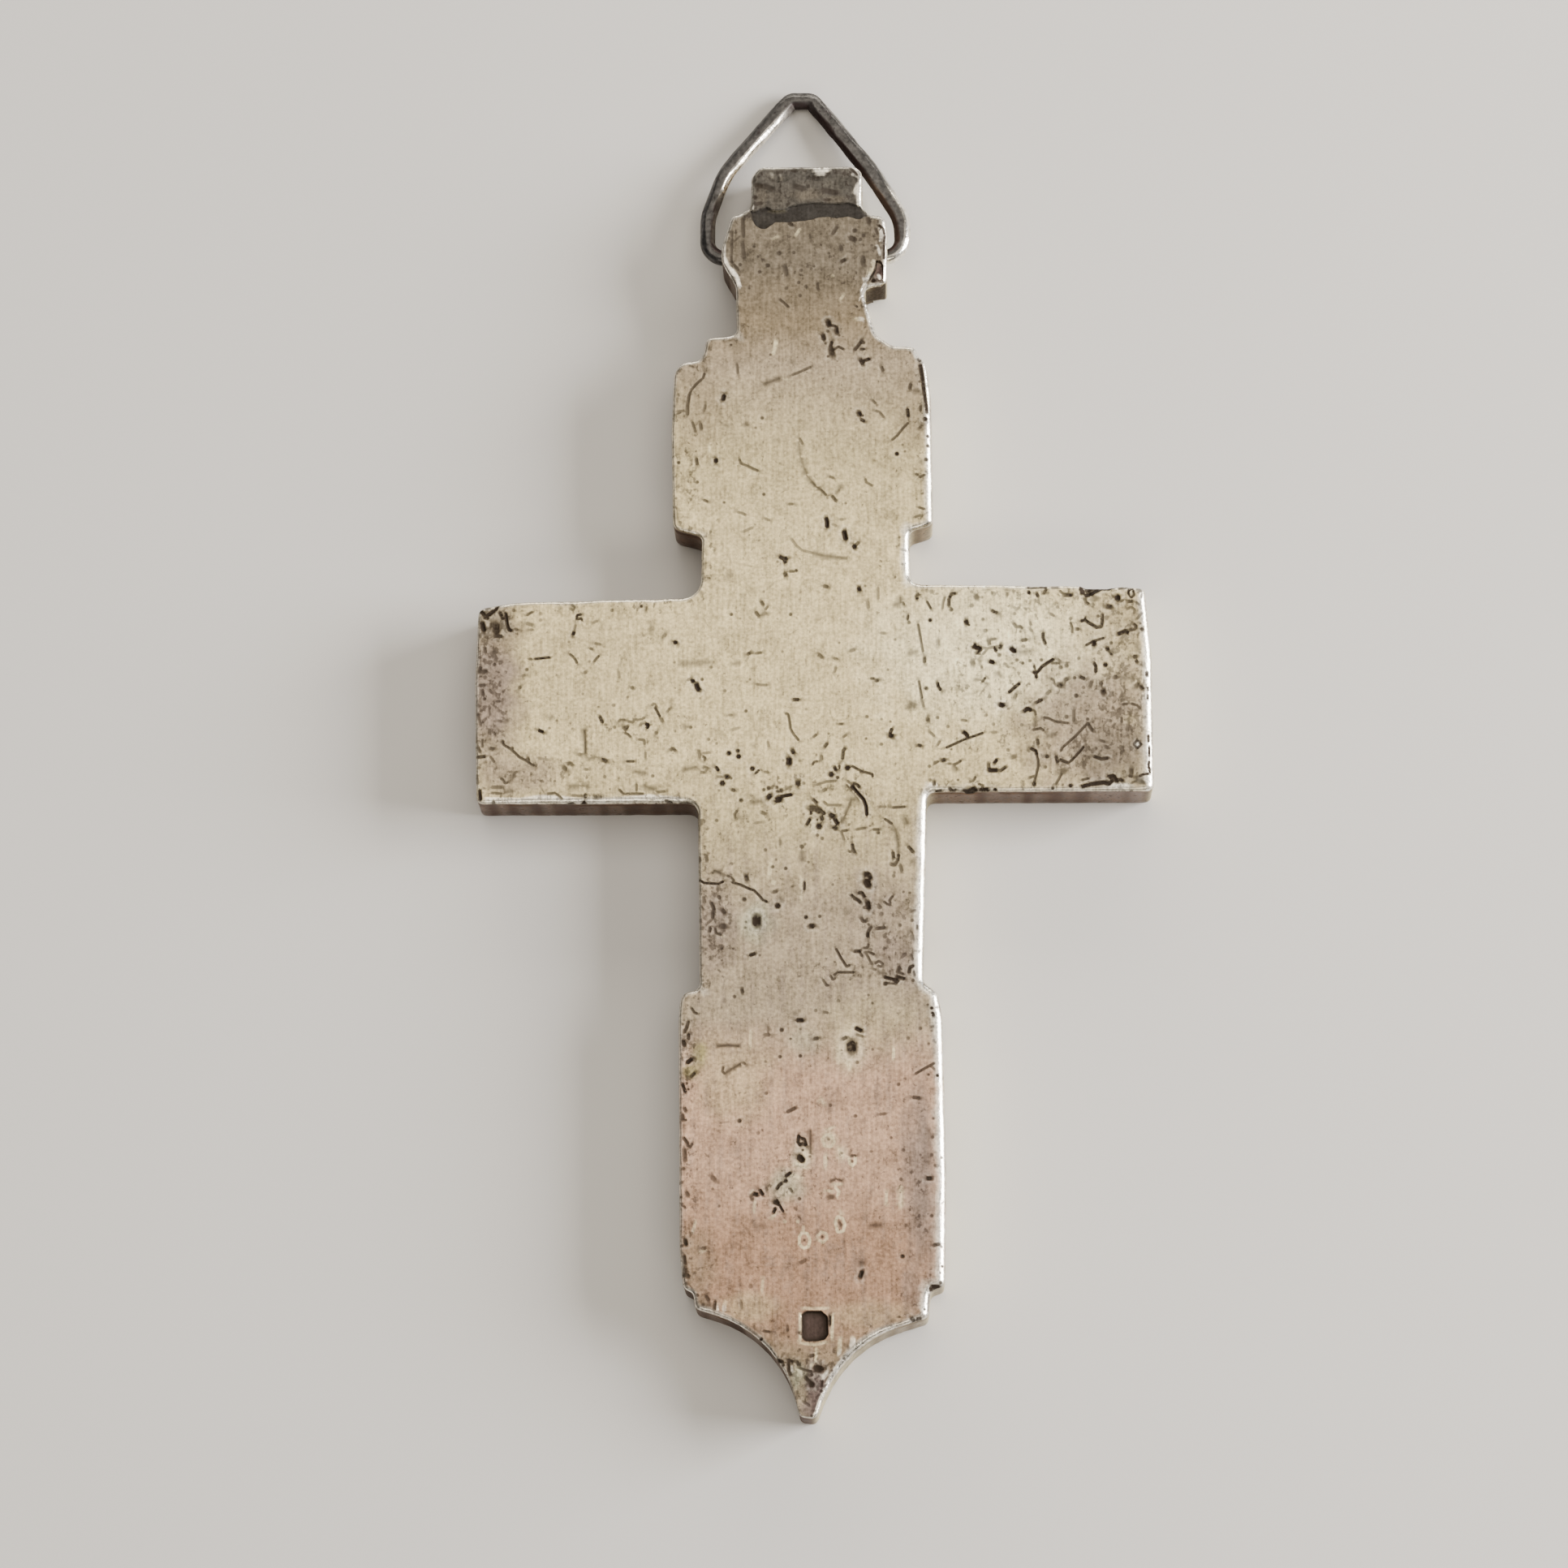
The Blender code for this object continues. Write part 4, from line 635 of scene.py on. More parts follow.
def camera_axes():
    """The camera's right, up and backward directions."""
    backward = Vector((math.tan(EYE_RIGHT), -math.tan(EYE_BELOW), 1.0)).normalized()
    right = Vector((0.0, 1.0, 0.0)).cross(backward).normalized()
    return right, backward.cross(right), backward


RIGHT, UP, BACKWARD = camera_axes()
EYE = LOOK_AT + BACKWARD * EYE_DISTANCE
FOCAL_PIXELS = LENS / SENSOR * PHOTO_SIDE
PIXEL = EYE_DISTANCE / FOCAL_PIXELS


def on_plate(px, py):
    """Where a pixel of the photograph lies on the level of the back."""
    across = (px - PHOTO_SIDE / 2) / FOCAL_PIXELS
    upward = (PHOTO_SIDE / 2 - py) / FOCAL_PIXELS
    sight = RIGHT * across + UP * upward - BACKWARD
    place = EYE + sight * ((THICKNESS - EYE.z) / sight.z)
    return np.array((place.x, place.y))


def level_line(node, level):
    """The closed line in which a level plane cuts a node, anticlockwise."""
    bm = bmesh.new()
    bm.from_mesh(node.data)
    bmesh.ops.remove_doubles(bm, verts=bm.verts, dist=1e-6)
    bm.edges.index_update()
    places = {}
    for edge in bm.edges:
        low, high = (vert.co.z / MM - level for vert in edge.verts)
        if low * high < 0:
            places[edge.index] = edge.verts[0].co.lerp(edge.verts[1].co, low / (low - high)) / MM
    links = defaultdict(list)
    for face in bm.faces:
        crossed = [edge.index for edge in face.edges if edge.index in places]
        if len(crossed) == 2:
            links[crossed[0]].append(crossed[1])
            links[crossed[1]].append(crossed[0])
    bm.free()
    start = next(iter(links))
    line = [start]
    previous, current = start, links[start][0]
    while current != start:
        line.append(current)
        ahead = [link for link in links[current] if link != previous]
        previous, current = current, ahead[0]
    points = np.array([places[index][:2] for index in line])
    following = np.roll(points, -1, axis=0)
    area = np.sum(points[:, 0] * following[:, 1] - following[:, 0] * points[:, 1])
    return points if area > 0 else points[::-1]


def distances_along(points):
    """How far along a closed line each of its points lies, and its whole length last."""
    closed = np.vstack([points, points[:1]])
    return np.concatenate([[0.0], np.cumsum(np.hypot(*np.diff(closed, axis=0).T))])


def resampled(points, step):
    """A closed line's points at even steps."""
    closed = np.vstack([points, points[:1]])
    along = distances_along(points)
    count = int(along[-1] / step)
    wanted = np.arange(count) * along[-1] / count
    return np.column_stack([np.interp(wanted, along, closed[:, axis]) for axis in (0, 1)])


def softened(values, passes):
    """Values along a closed line, smoothed."""
    for _ in range(passes):
        values = (np.roll(values, 1, axis=0) + 2 * values + np.roll(values, -1, axis=0)) / 4
    return values


def outward_normals(points):
    """Directions that point out of a closed line that runs anticlockwise."""
    ahead = np.roll(points, -1, axis=0) - np.roll(points, 1, axis=0)
    ahead /= np.maximum(np.hypot(ahead[:, 0], ahead[:, 1]), 1e-9)[:, None]
    return np.column_stack([ahead[:, 1], -ahead[:, 0]])


def smooth(low, high, value):
    """A smooth step from 0 at low to 1 at high."""
    share = np.clip((value - low) / (high - low), 0.0, 1.0)
    return share * share * (3 - 2 * share)


def lumps(x, y, size, seed=0.0):
    """Smooth noise from about -1 to 1, whose lumps are about size across."""
    return noise.noise(Vector((x / size, y / size, seed)))


def lumpy(places, size, seed=0.0):
    """The same noise at many places."""
    return np.array([lumps(x, y, size, seed) for x, y in places])


def search_tree(points):
    """A tree that finds the nearest of some flat points."""
    tree = KDTree(len(points))
    for number, point in enumerate(points):
        tree.insert((point[0], point[1], 0.0), number)
    tree.balance()
    return tree


def worn_outline():
    """The cross's outline, a little uneven, with its outward directions and its wear."""
    line = softened(resampled(level_line(CROSS_NODE, BODY_LEVEL), OUTLINE_STEP), 2)
    outward = outward_normals(line)
    filed = 0.020 + 0.018 * lumpy(line, 1.1, 4.0) + 0.010 * lumpy(line, 0.4, 5.0)
    line = line - outward * np.clip(filed, 0.0, None)[:, None]
    outward = softened(outward_normals(line), 2)
    # The edge is worn wider at the right, most of all low down, and a little below and above
    right = np.clip(outward[:, 0], 0.0, None)
    foot = np.clip(-outward[:, 1], 0.0, None)
    worn = 0.19 + (0.10 + 0.38 * smooth(30.0, 4.0, line[:, 1])) * right ** 2 + 0.10 * foot ** 2
    # The lower edge of the left arm is worn widest
    heel = foot ** 2 * (line[:, 0] < -6.0) * smooth(-19.5, -12.0, line[:, 0]) * (line[:, 1] < 0.0)
    worn = worn + 0.16 * heel + 0.06 * np.clip(outward[:, 1], 0.0, None) ** 2
    worn = worn * (1 - 0.65 * smooth(-36.5, -39.0, line[:, 1]))
    worn = softened(worn, 24) * (1 + 0.22 * lumpy(line, 2.3, 3.0) + 0.14 * lumpy(line, 0.7, 6.0))
    return line, outward, worn


OUTLINE, OUTWARD, WORN = worn_outline()
OUTLINE_TREE = search_tree(OUTLINE)


def from_edge(x, y):
    """Distance inward from the outline, negative outside it, and the nearest point's number."""
    _, nearest, _ = OUTLINE_TREE.find((x, y, 0.0))
    base = OUTLINE[nearest]
    gap_x, gap_y = x - base[0], y - base[1]
    best = math.inf
    for other in (nearest - 1, (nearest + 1) % len(OUTLINE)):
        along_x, along_y = OUTLINE[other][0] - base[0], OUTLINE[other][1] - base[1]
        share = (gap_x * along_x + gap_y * along_y) / max(along_x ** 2 + along_y ** 2, 1e-9)
        share = min(max(share, 0.0), 1.0)
        best = min(best, math.hypot(gap_x - along_x * share, gap_y - along_y * share))
    inside = gap_x * OUTWARD[nearest][0] + gap_y * OUTWARD[nearest][1] <= 0
    return (best if inside else -best), nearest


def from_edges(places):
    """The same for many places, with 0 for the distance outside the outline."""
    edges = [from_edge(*place) for place in places]
    return np.clip([edge[0] for edge in edges], 0.0, None), [edge[1] for edge in edges]


def ragged_loop(sunk):
    """A sunk area's outline on the plate, its edge broken up a little."""
    corners = np.array([on_plate(*corner) for corner in sunk.corners])
    line = resampled(corners, MARK_STEP)
    outward = outward_normals(line)
    shift = sunk.ragged * (lumpy(line, 0.35, 8.0) + 0.7 * lumpy(line, 0.16, 9.0))
    return line + outward * shift[:, None]


SUNK_LOOPS = {sunk.name: ragged_loop(sunk) for sunk in SUNK}


def close_by(places, lowest, highest):
    """Numbers of the places inside an upright box."""
    x, y = places[:, 0], places[:, 1]
    return np.flatnonzero((x > lowest[0]) & (x < highest[0]) & (y > lowest[1]) & (y < highest[1]))


def inside_by(loop, places):
    """How far places lie inside a closed line, negative outside it."""
    result = np.full(len(places), -9.0)
    near = close_by(places, loop.min(axis=0) - 1, loop.max(axis=0) + 1)
    px, py = places[near, 0][:, None], places[near, 1][:, None]
    start, end = loop, np.roll(loop, -1, axis=0)
    along = end - start
    gap_x, gap_y = px - start[:, 0], py - start[:, 1]
    share = np.clip((gap_x * along[:, 0] + gap_y * along[:, 1]) / (along ** 2).sum(axis=1), 0.0, 1.0)
    away = np.hypot(gap_x - along[:, 0] * share, gap_y - along[:, 1] * share).min(axis=1)
    rising = (start[:, 1] > py) != (end[:, 1] > py)
    with np.errstate(divide="ignore", invalid="ignore"):
        crossing = px < along[:, 0] * gap_y / along[:, 1] + start[:, 0]
    inside = (rising & crossing).sum(axis=1) % 2 == 1
    result[near] = np.where(inside, away, -away)
    return result


def within(name, places, low=-0.05, high=0.05):
    """From 0 to 1 as places lie from low to high inside a sunk area."""
    return smooth(low, high, inside_by(SUNK_LOOPS[name], places))


def charted_segments(*charts):
    """Every mark as segments on the plate: start, end, half width and strength."""
    segments = []
    for width, strength, *steps in (mark for chart in charts for mark in chart):
        places = np.cumsum(np.reshape(steps, (-1, 2)), axis=0)
        line = [on_plate(*place) for place in places]
        for start, end in zip(line, line[1:] or line):
            segments.append((start, end, (width + WIDER) * PIXEL / 2, strength))
    return segments


def turned(turn):
    """The direction at an angle."""
    return np.array((math.cos(turn), math.sin(turn)))


def strewn_segments():
    """Small uncharted pits and nicks: darker ones along the edges, faint ones all over."""
    chance = random.Random(SPECK_SEED)
    segments = []
    for number in range(0, len(OUTLINE), 5):
        if chance.random() < 0.45:
            inset = chance.uniform(0.08, 0.75)
            start = OUTLINE[number] - OUTWARD[number] * inset
            direction = turned(chance.uniform(0.0, math.tau))
            end = start + direction * chance.uniform(0.0, 0.28)
            segments.append((start, end, chance.uniform(0.035, 0.075), chance.uniform(0.10, 0.55)))
    for _ in range(SPECKS_TRIED):
        start = np.array((chance.uniform(LOW.x, HIGH.x), chance.uniform(LOW.y, HIGH.y)))
        if from_edge(*start)[0] >= 0.4:
            direction = turned(chance.choice((0.0, math.pi / 2)) + chance.gauss(0.0, 0.5))
            end = start + direction * chance.choice((0.0, 0.0, 0.10, 0.18, 0.30, 0.5))
            segments.append((start, end, chance.uniform(0.028, 0.065), chance.uniform(0.02, 0.16)))
    return segments


SEGMENTS = charted_segments(HEAD_MARKS, UPPER_MARKS, LEFT_ARM_MARKS, CENTRE_MARKS, RIGHT_ARM_MARKS,
                            SHAFT_MARKS, LOWER_MARKS, FOOT_MARKS) + strewn_segments()
BRIGHT_SEGMENTS = charted_segments(GLINTS)


def around(segments, places):
    """For each segment, the places near it, and how many half widths they are away from it."""
    for start, end, half, strength in segments:
        reach = 3.2 * half
        near = close_by(places, np.minimum(start, end) - reach, np.maximum(start, end) + reach)
        if len(near):
            along = end - start
            gap_x, gap_y = places[near, 0] - start[0], places[near, 1] - start[1]
            share = np.clip((gap_x * along[0] + gap_y * along[1]) / max(along @ along, 1e-9), 0.0, 1.0)
            away = np.hypot(gap_x - along[0] * share, gap_y - along[1] * share)
            yield near, away / half, half, strength


def marked(places):
    """Depth, darkness and pale rim of the marks at places on the back; the pale rim is a painted highlight
    round each mark.
    """
    depth, dark, rim = np.zeros((3, len(places)))
    for near, away, half, strength in around(SEGMENTS, places):
        dark[near] = np.maximum(dark[near], strength ** 0.52 * (1 - smooth(0.80, 1.45, away)))
        deep = min(0.55 * half + 0.012, DEEPEST_MARK) * strength
        depth[near] = np.maximum(depth[near], deep * (1 - smooth(0.2, 1.15, away)))
        # A pale ring round each mark, a painted highlight
        ring = smooth(1.3, 1.8, away) * (1 - smooth(2.0, 3.0, away))
        rim[near] = np.maximum(rim[near], 0.16 * strength ** 2.5 * ring)
    return depth, dark, rim * (1 - dark)


def glinting(places):
    """How far places on the back carry the glints: painted highlights, and some metal rubbed bright."""
    result = np.zeros(len(places))
    for near, away, _, strength in around(BRIGHT_SEGMENTS, places):
        result[near] = np.maximum(result[near], strength * (1 - smooth(0.65, 1.6, away)))
    return result


def back_heights(places):
    """Heights of the back's surface."""
    depth, nearest = from_edges(places)
    worn = WORN[nearest]
    height = np.full(len(places), THICKNESS - BACK_SINK)
    short = np.clip(1 - depth / worn, 0.0, 1.0)
    height -= np.minimum(worn, DEEPEST_WEAR) * (1 - np.sqrt(1 - short ** 2))
    height += 0.012 * lumpy(places, 6.0, 1.0) + 0.005 * lumpy(places, 1.3, 2.0)
    for sunk in SUNK:
        height -= sunk.depth * within(sunk.name, places, -sunk.slope / 2, sunk.slope / 2)
    tab = within("tab", places, 0.0, 0.1)
    height += tab * (0.035 * lumpy(places, 0.9, 7.0) + 0.020 * lumpy(places, 0.38, 7.5))
    peel = smooth(HEAD_FOOT, HEAD_FOOT + 3.0, places[:, 1]) * (1 - tab)
    height += peel * (0.016 * lumpy(places, 0.45, 7.8) + 0.008 * lumpy(places, 0.9, 7.9))
    height -= marked(places)[0]
    return np.minimum(height, THICKNESS - SKIN)


def mark_points():
    """Points in rows along every mark and round every pit."""
    places = []
    for start, end, half, _ in SEGMENTS + BRIGHT_SEGMENTS:
        along = end - start
        length = math.hypot(*along)
        if length > 0.02:
            ahead = along / length
            side = np.array((-ahead[1], ahead[0]))
            count = max(1, round(length / MARK_STEP))
            for step in range(count + 1):
                middle = start + along * step / count
                places.append(middle)
                for offset in (0.85, -0.85, 1.6, -1.6):
                    places.append(middle + side * offset * half)
            places.append(start - ahead * half)
            places.append(end + ahead * half)
        else:
            places.append(start)
            for reach, count in ((0.85, 6), (1.6, 8)):
                for step in range(count):
                    turn = math.tau * (step + 0.5 * (reach > 1)) / count
                    places.append(start + turned(turn) * reach * half)
    return places


def sunk_points():
    """Points in rows along the edges of the sunk areas."""
    places = []
    for sunk in SUNK:
        loop = SUNK_LOOPS[sunk.name]
        outward = outward_normals(loop)
        for offset in (-MARK_STEP, -sunk.slope / 2, 0.0, sunk.slope / 2, MARK_STEP):
            places.extend(loop + outward * offset)
    return places


def thinned(places, gap):
    """The places that keep the gap from the ones kept before them."""
    kept = []
    taken = {}
    neighbours = [(across, down) for across in (-1, 0, 1) for down in (-1, 0, 1)]
    for x, y in places:
        cell = (math.floor(x / gap), math.floor(y / gap))
        crowd = (taken.get((cell[0] + across, cell[1] + down)) for across, down in neighbours)
        if not any(other and math.hypot(x - other[0], y - other[1]) < gap for other in crowd):
            taken[cell] = (x, y)
            kept.append((x, y))
    return kept


def netted(gap, foot, head, tree):
    """Points in an even net between two heights, clear of the edge and of the tree's points."""
    net = []
    row_step = gap * math.sqrt(3) / 2
    for row in range(int((head - foot) / row_step) + 1):
        y = foot + row * row_step
        shift = gap / 2 if row % 2 else 0.0
        for column in range(int((HIGH.x - LOW.x) / gap) + 1):
            x = LOW.x + shift + column * gap
            if from_edge(x, y)[0] > INSETS[-1] + gap / 2 and tree.find((x, y, 0.0))[2] > gap / 2:
                net.append((x, y))
    return net


def inner_points():
    """Points on the back, along its edge, its marks and its sunk areas, and in a net between them."""
    fine = [place for place in sunk_points() + mark_points() if from_edge(*place)[0] > INSETS[0]]
    fine = thinned(fine, FINE_GAP)
    tree = search_tree(fine)
    rows = []
    for inset in INSETS:
        for x, y in OUTLINE - OUTWARD * inset:
            if from_edge(x, y)[0] > inset - INSET_SLACK and tree.find((x, y, 0.0))[2] > ROW_GAP:
                rows.append((x, y))
    net = netted(NET_STEP, LOW.y, HEAD_FOOT, tree) + netted(HEAD_NET_STEP, HEAD_FOOT, HIGH.y, tree)
    return rows + fine + net


def filled(outline, places):
    """Triangles between an outline and the places in it, and what each point was made from."""
    count = len(outline)
    flat = [Vector(point) for point in outline] + [Vector(place) for place in places]
    verts, _, faces, originals, _, _ = delaunay_2d_cdt(flat, [], [list(range(count))], 1, 1e-7)
    return verts, faces, originals


def back_surface(bm):
    """Adds the back, and gives its points along the outline in their order."""
    verts, faces, originals = filled(OUTLINE, inner_points())
    heights = back_heights(np.array([(vert.x, vert.y) for vert in verts]))
    back = [bm.verts.new((vert.x, vert.y, height)) for vert, height in zip(verts, heights)]
    for face in faces:
        bm.faces.new([back[number] for number in face])
    edge_row = [None] * len(OUTLINE)
    for number, sources in enumerate(originals):
        for source in sources:
            if source < len(OUTLINE):
                edge_row[source] = back[number]
    return edge_row


def wall_rows(bm, edge_row):
    """Adds the rows of points down the walls and round the front's edge."""
    rows = [edge_row]
    for step, level in enumerate(WALL_LEVELS, 1):
        row = []
        for point, outward, top in zip(OUTLINE, OUTWARD, edge_row):
            height = min(level, top.co.z - WALL_DROP * step)
            inset = 0.014 + 0.014 * lumps(point[0] + point[1], 3.0 * height, 1.4, 12.0)
            if level == SEAM_LEVEL:
                inset += SEAM_DEPTH * seam_share(lumps(*point, 1.6, 13.0))
            row.append(bm.verts.new((*(point - outward * inset), height)))
        rows.append(row)
    for inset, height in FRONT_ROUND:
        rows.append([bm.verts.new((*place, height)) for place in OUTLINE - OUTWARD * (inset + 0.01)])
    return rows


def seam_share(wander):
    """How open the seam between the slab and its back plate is, which comes and goes."""
    return smooth(-0.2, 0.3, wander)


def stitched(bm, upper, lower):
    """Joins two closed rows of points."""
    for number in range(len(upper)):
        following = (number + 1) % len(upper)
        bm.faces.new((upper[number], lower[number], lower[following], upper[following]))


def front_surface(bm, edge_row):
    """Adds the plain front inside its edge."""
    net = []
    for row in range(int((HIGH.y - LOW.y) / FRONT_STEP) + 1):
        for column in range(int((HIGH.x - LOW.x) / FRONT_STEP) + 1):
            x = LOW.x + column * FRONT_STEP
            y = LOW.y + row * FRONT_STEP
            if from_edge(x, y)[0] > FRONT_STEP:
                net.append((x, y))
    verts, faces, originals = filled([vert.co.xy for vert in edge_row], net)
    front = []
    for vert, sources in zip(verts, originals):
        on_edge = [source for source in sources if source < len(edge_row)]
        front.append(edge_row[on_edge[0]] if on_edge else bm.verts.new((vert.x, vert.y, 0.0)))
    for face in faces:
        bm.faces.new([front[number] for number in reversed(face)])


def triangulated(bm):
    """Splits every face with more than three corners."""
    bmesh.ops.triangulate(bm, faces=[face for face in bm.faces if len(face.verts) > 3])


def cross_blank():
    """The cross without its bore, in millimetres."""
    bm = bmesh.new()
    rows = wall_rows(bm, back_surface(bm))
    for upper, lower in zip(rows, rows[1:]):
        stitched(bm, upper, lower)
    front_surface(bm, rows[-1])
    triangulated(bm)
    bmesh.ops.recalc_face_normals(bm, faces=bm.faces)
    return new_mesh("cross_silver", bm)


def new_mesh(name, bm):
    """What was modelled, as a mesh."""
    mesh = bpy.data.meshes.new(name)
    bm.to_mesh(mesh)
    bm.free()
    return mesh


def linked(name, data):
    """A new thing in the scene: a mesh, a light or a camera."""
    thing = bpy.data.objects.new(name, data)
    bpy.context.collection.objects.link(thing)
    return thing


def bar(bm, section):
    """Adds a closed bar across the lug, with the section given as places along y and z."""
    ends = [[bm.verts.new((x, y, z)) for y, z in section] for x in (-LUG_HALF, LUG_HALF)]
    bm.faces.new(ends[0])
    bm.faces.new(reversed(ends[1]))
    stitched(bm, *ends)


def lug_cutters():
    """What is cut from the lug: the bore for the ring, and its two rounded front edges."""
    bm = bmesh.new()
    centre = np.array((HINGE.y, HINGE.z))
    bar(bm, [centre + turned(math.tau * step / BORE_SIDES) * BORE_RADIUS for step in range(BORE_SIDES)])
    for edge, inward in ((LUG_TOP, -1), (LUG_FOOT, 1)):
        section = []
        for step in range(LUG_ROUND_STEPS + 1):
            turn = math.pi / 2 * step / LUG_ROUND_STEPS
            along = edge + inward * LUG_ROUND * (1 - math.sin(turn))
            section.append((along, LUG_ROUND * (1 - math.cos(turn))))
        section.append((edge - inward * LUG_GROOVE, LUG_ROUND))
        section.append((edge - inward * LUG_GROOVE, -1.0))
        section.append((edge + inward * LUG_ROUND, -1.0))
        bar(bm, section)
    bmesh.ops.recalc_face_normals(bm, faces=bm.faces)
    return new_mesh("lug_cutters", bm)


def bored(blank):
    """The blank with its lug cut."""
    body, tool = linked("blank", blank), linked("tool", lug_cutters())
    cut = body.modifiers.new("cut", "BOOLEAN")
    cut.operation = "DIFFERENCE"
    cut.solver = "EXACT"
    cut.object = tool
    seen = body.evaluated_get(bpy.context.evaluated_depsgraph_get())
    mesh = bpy.data.meshes.new_from_object(seen)
    for scrap in (body, tool):
        bpy.data.objects.remove(scrap, do_unlink=True)
    bm = bmesh.new()
    bm.from_mesh(mesh)
    triangulated(bm)
    bm.to_mesh(mesh)
    bm.free()
    return mesh


def mixed(colour, name, share):
    """The colours mixed with a tone, by a share for each point."""
    return colour + (np.array(TONES[name]) - colour) * np.clip(share, 0.0, 1.0)[:, None]


def covering(spot, places, wander, slack, inner, outer):
    """How strongly a charted patch covers places on the back, with a loose edge."""
    middle = on_plate(spot.x, spot.y)
    across, down = spot.across * PIXEL, spot.down * PIXEL
    loose = slack * min(across, down)
    off_x = (places[:, 0] - middle[0] + loose * wander[0]) / across
    off_y = (places[:, 1] - middle[1] + loose * wander[1]) / down
    return spot.strength * (1 - smooth(inner, outer, np.hypot(off_x, off_y)))


def toned(places):
    """The broad tones at places on the back: the metal's own, with painted light and shade in them."""
    heights = np.array([on_plate(PHOTO_SIDE / 2, row)[1] for row, _ in TONES_DOWN])
    tones = np.array([TONES[name] for _, name in TONES_DOWN])
    order = np.argsort(heights)
    drift = places[:, 1] + 0.5 * lumpy(places, 2.2, 20.0)
    colour = np.column_stack([np.interp(drift, heights[order], tones[order, band]) for band in range(3)])
    wander = lumpy(places, 1.1, 21.0), lumpy(places, 1.1, 22.0)
    for patch in PATCHES:
        share = covering(patch, places, wander, slack=0.30, inner=0.35, outer=1.25)
        colour = mixed(colour, patch.tone, share)
    # Fine streaks run down the shaft and the lower block, and mauve shows in them
    streaks = lumpy(places * (1.0, 0.09), 0.30, 25.0) + 0.6 * lumpy(places * (1.0, 0.16), 0.13, 26.0)
    share = smooth(0.0, 0.7, streaks) * smooth(1.0, -8.0, places[:, 1])
    return mixed(colour, "mauve", 0.42 * share)


def fouled(places):
    """How densely dark specks cover the back, from 0 to 1."""
    wander = lumpy(places, 0.9, 23.0), lumpy(places, 0.9, 24.0)
    shares = [covering(foul, places, wander, slack=0.35, inner=0.45, outer=1.2) for foul in FOULED]
    return np.max(shares, axis=0)


def surface(mesh):
    """The places and the normals of a mesh's points."""
    read = []
    for layer, name in ((mesh.vertices, "co"), (mesh.vertex_normals, "vector")):
        values = np.empty(len(mesh.vertices) * 3)
        layer.foreach_get(name, values)
        read.append(values.reshape(-1, 3))
    return read


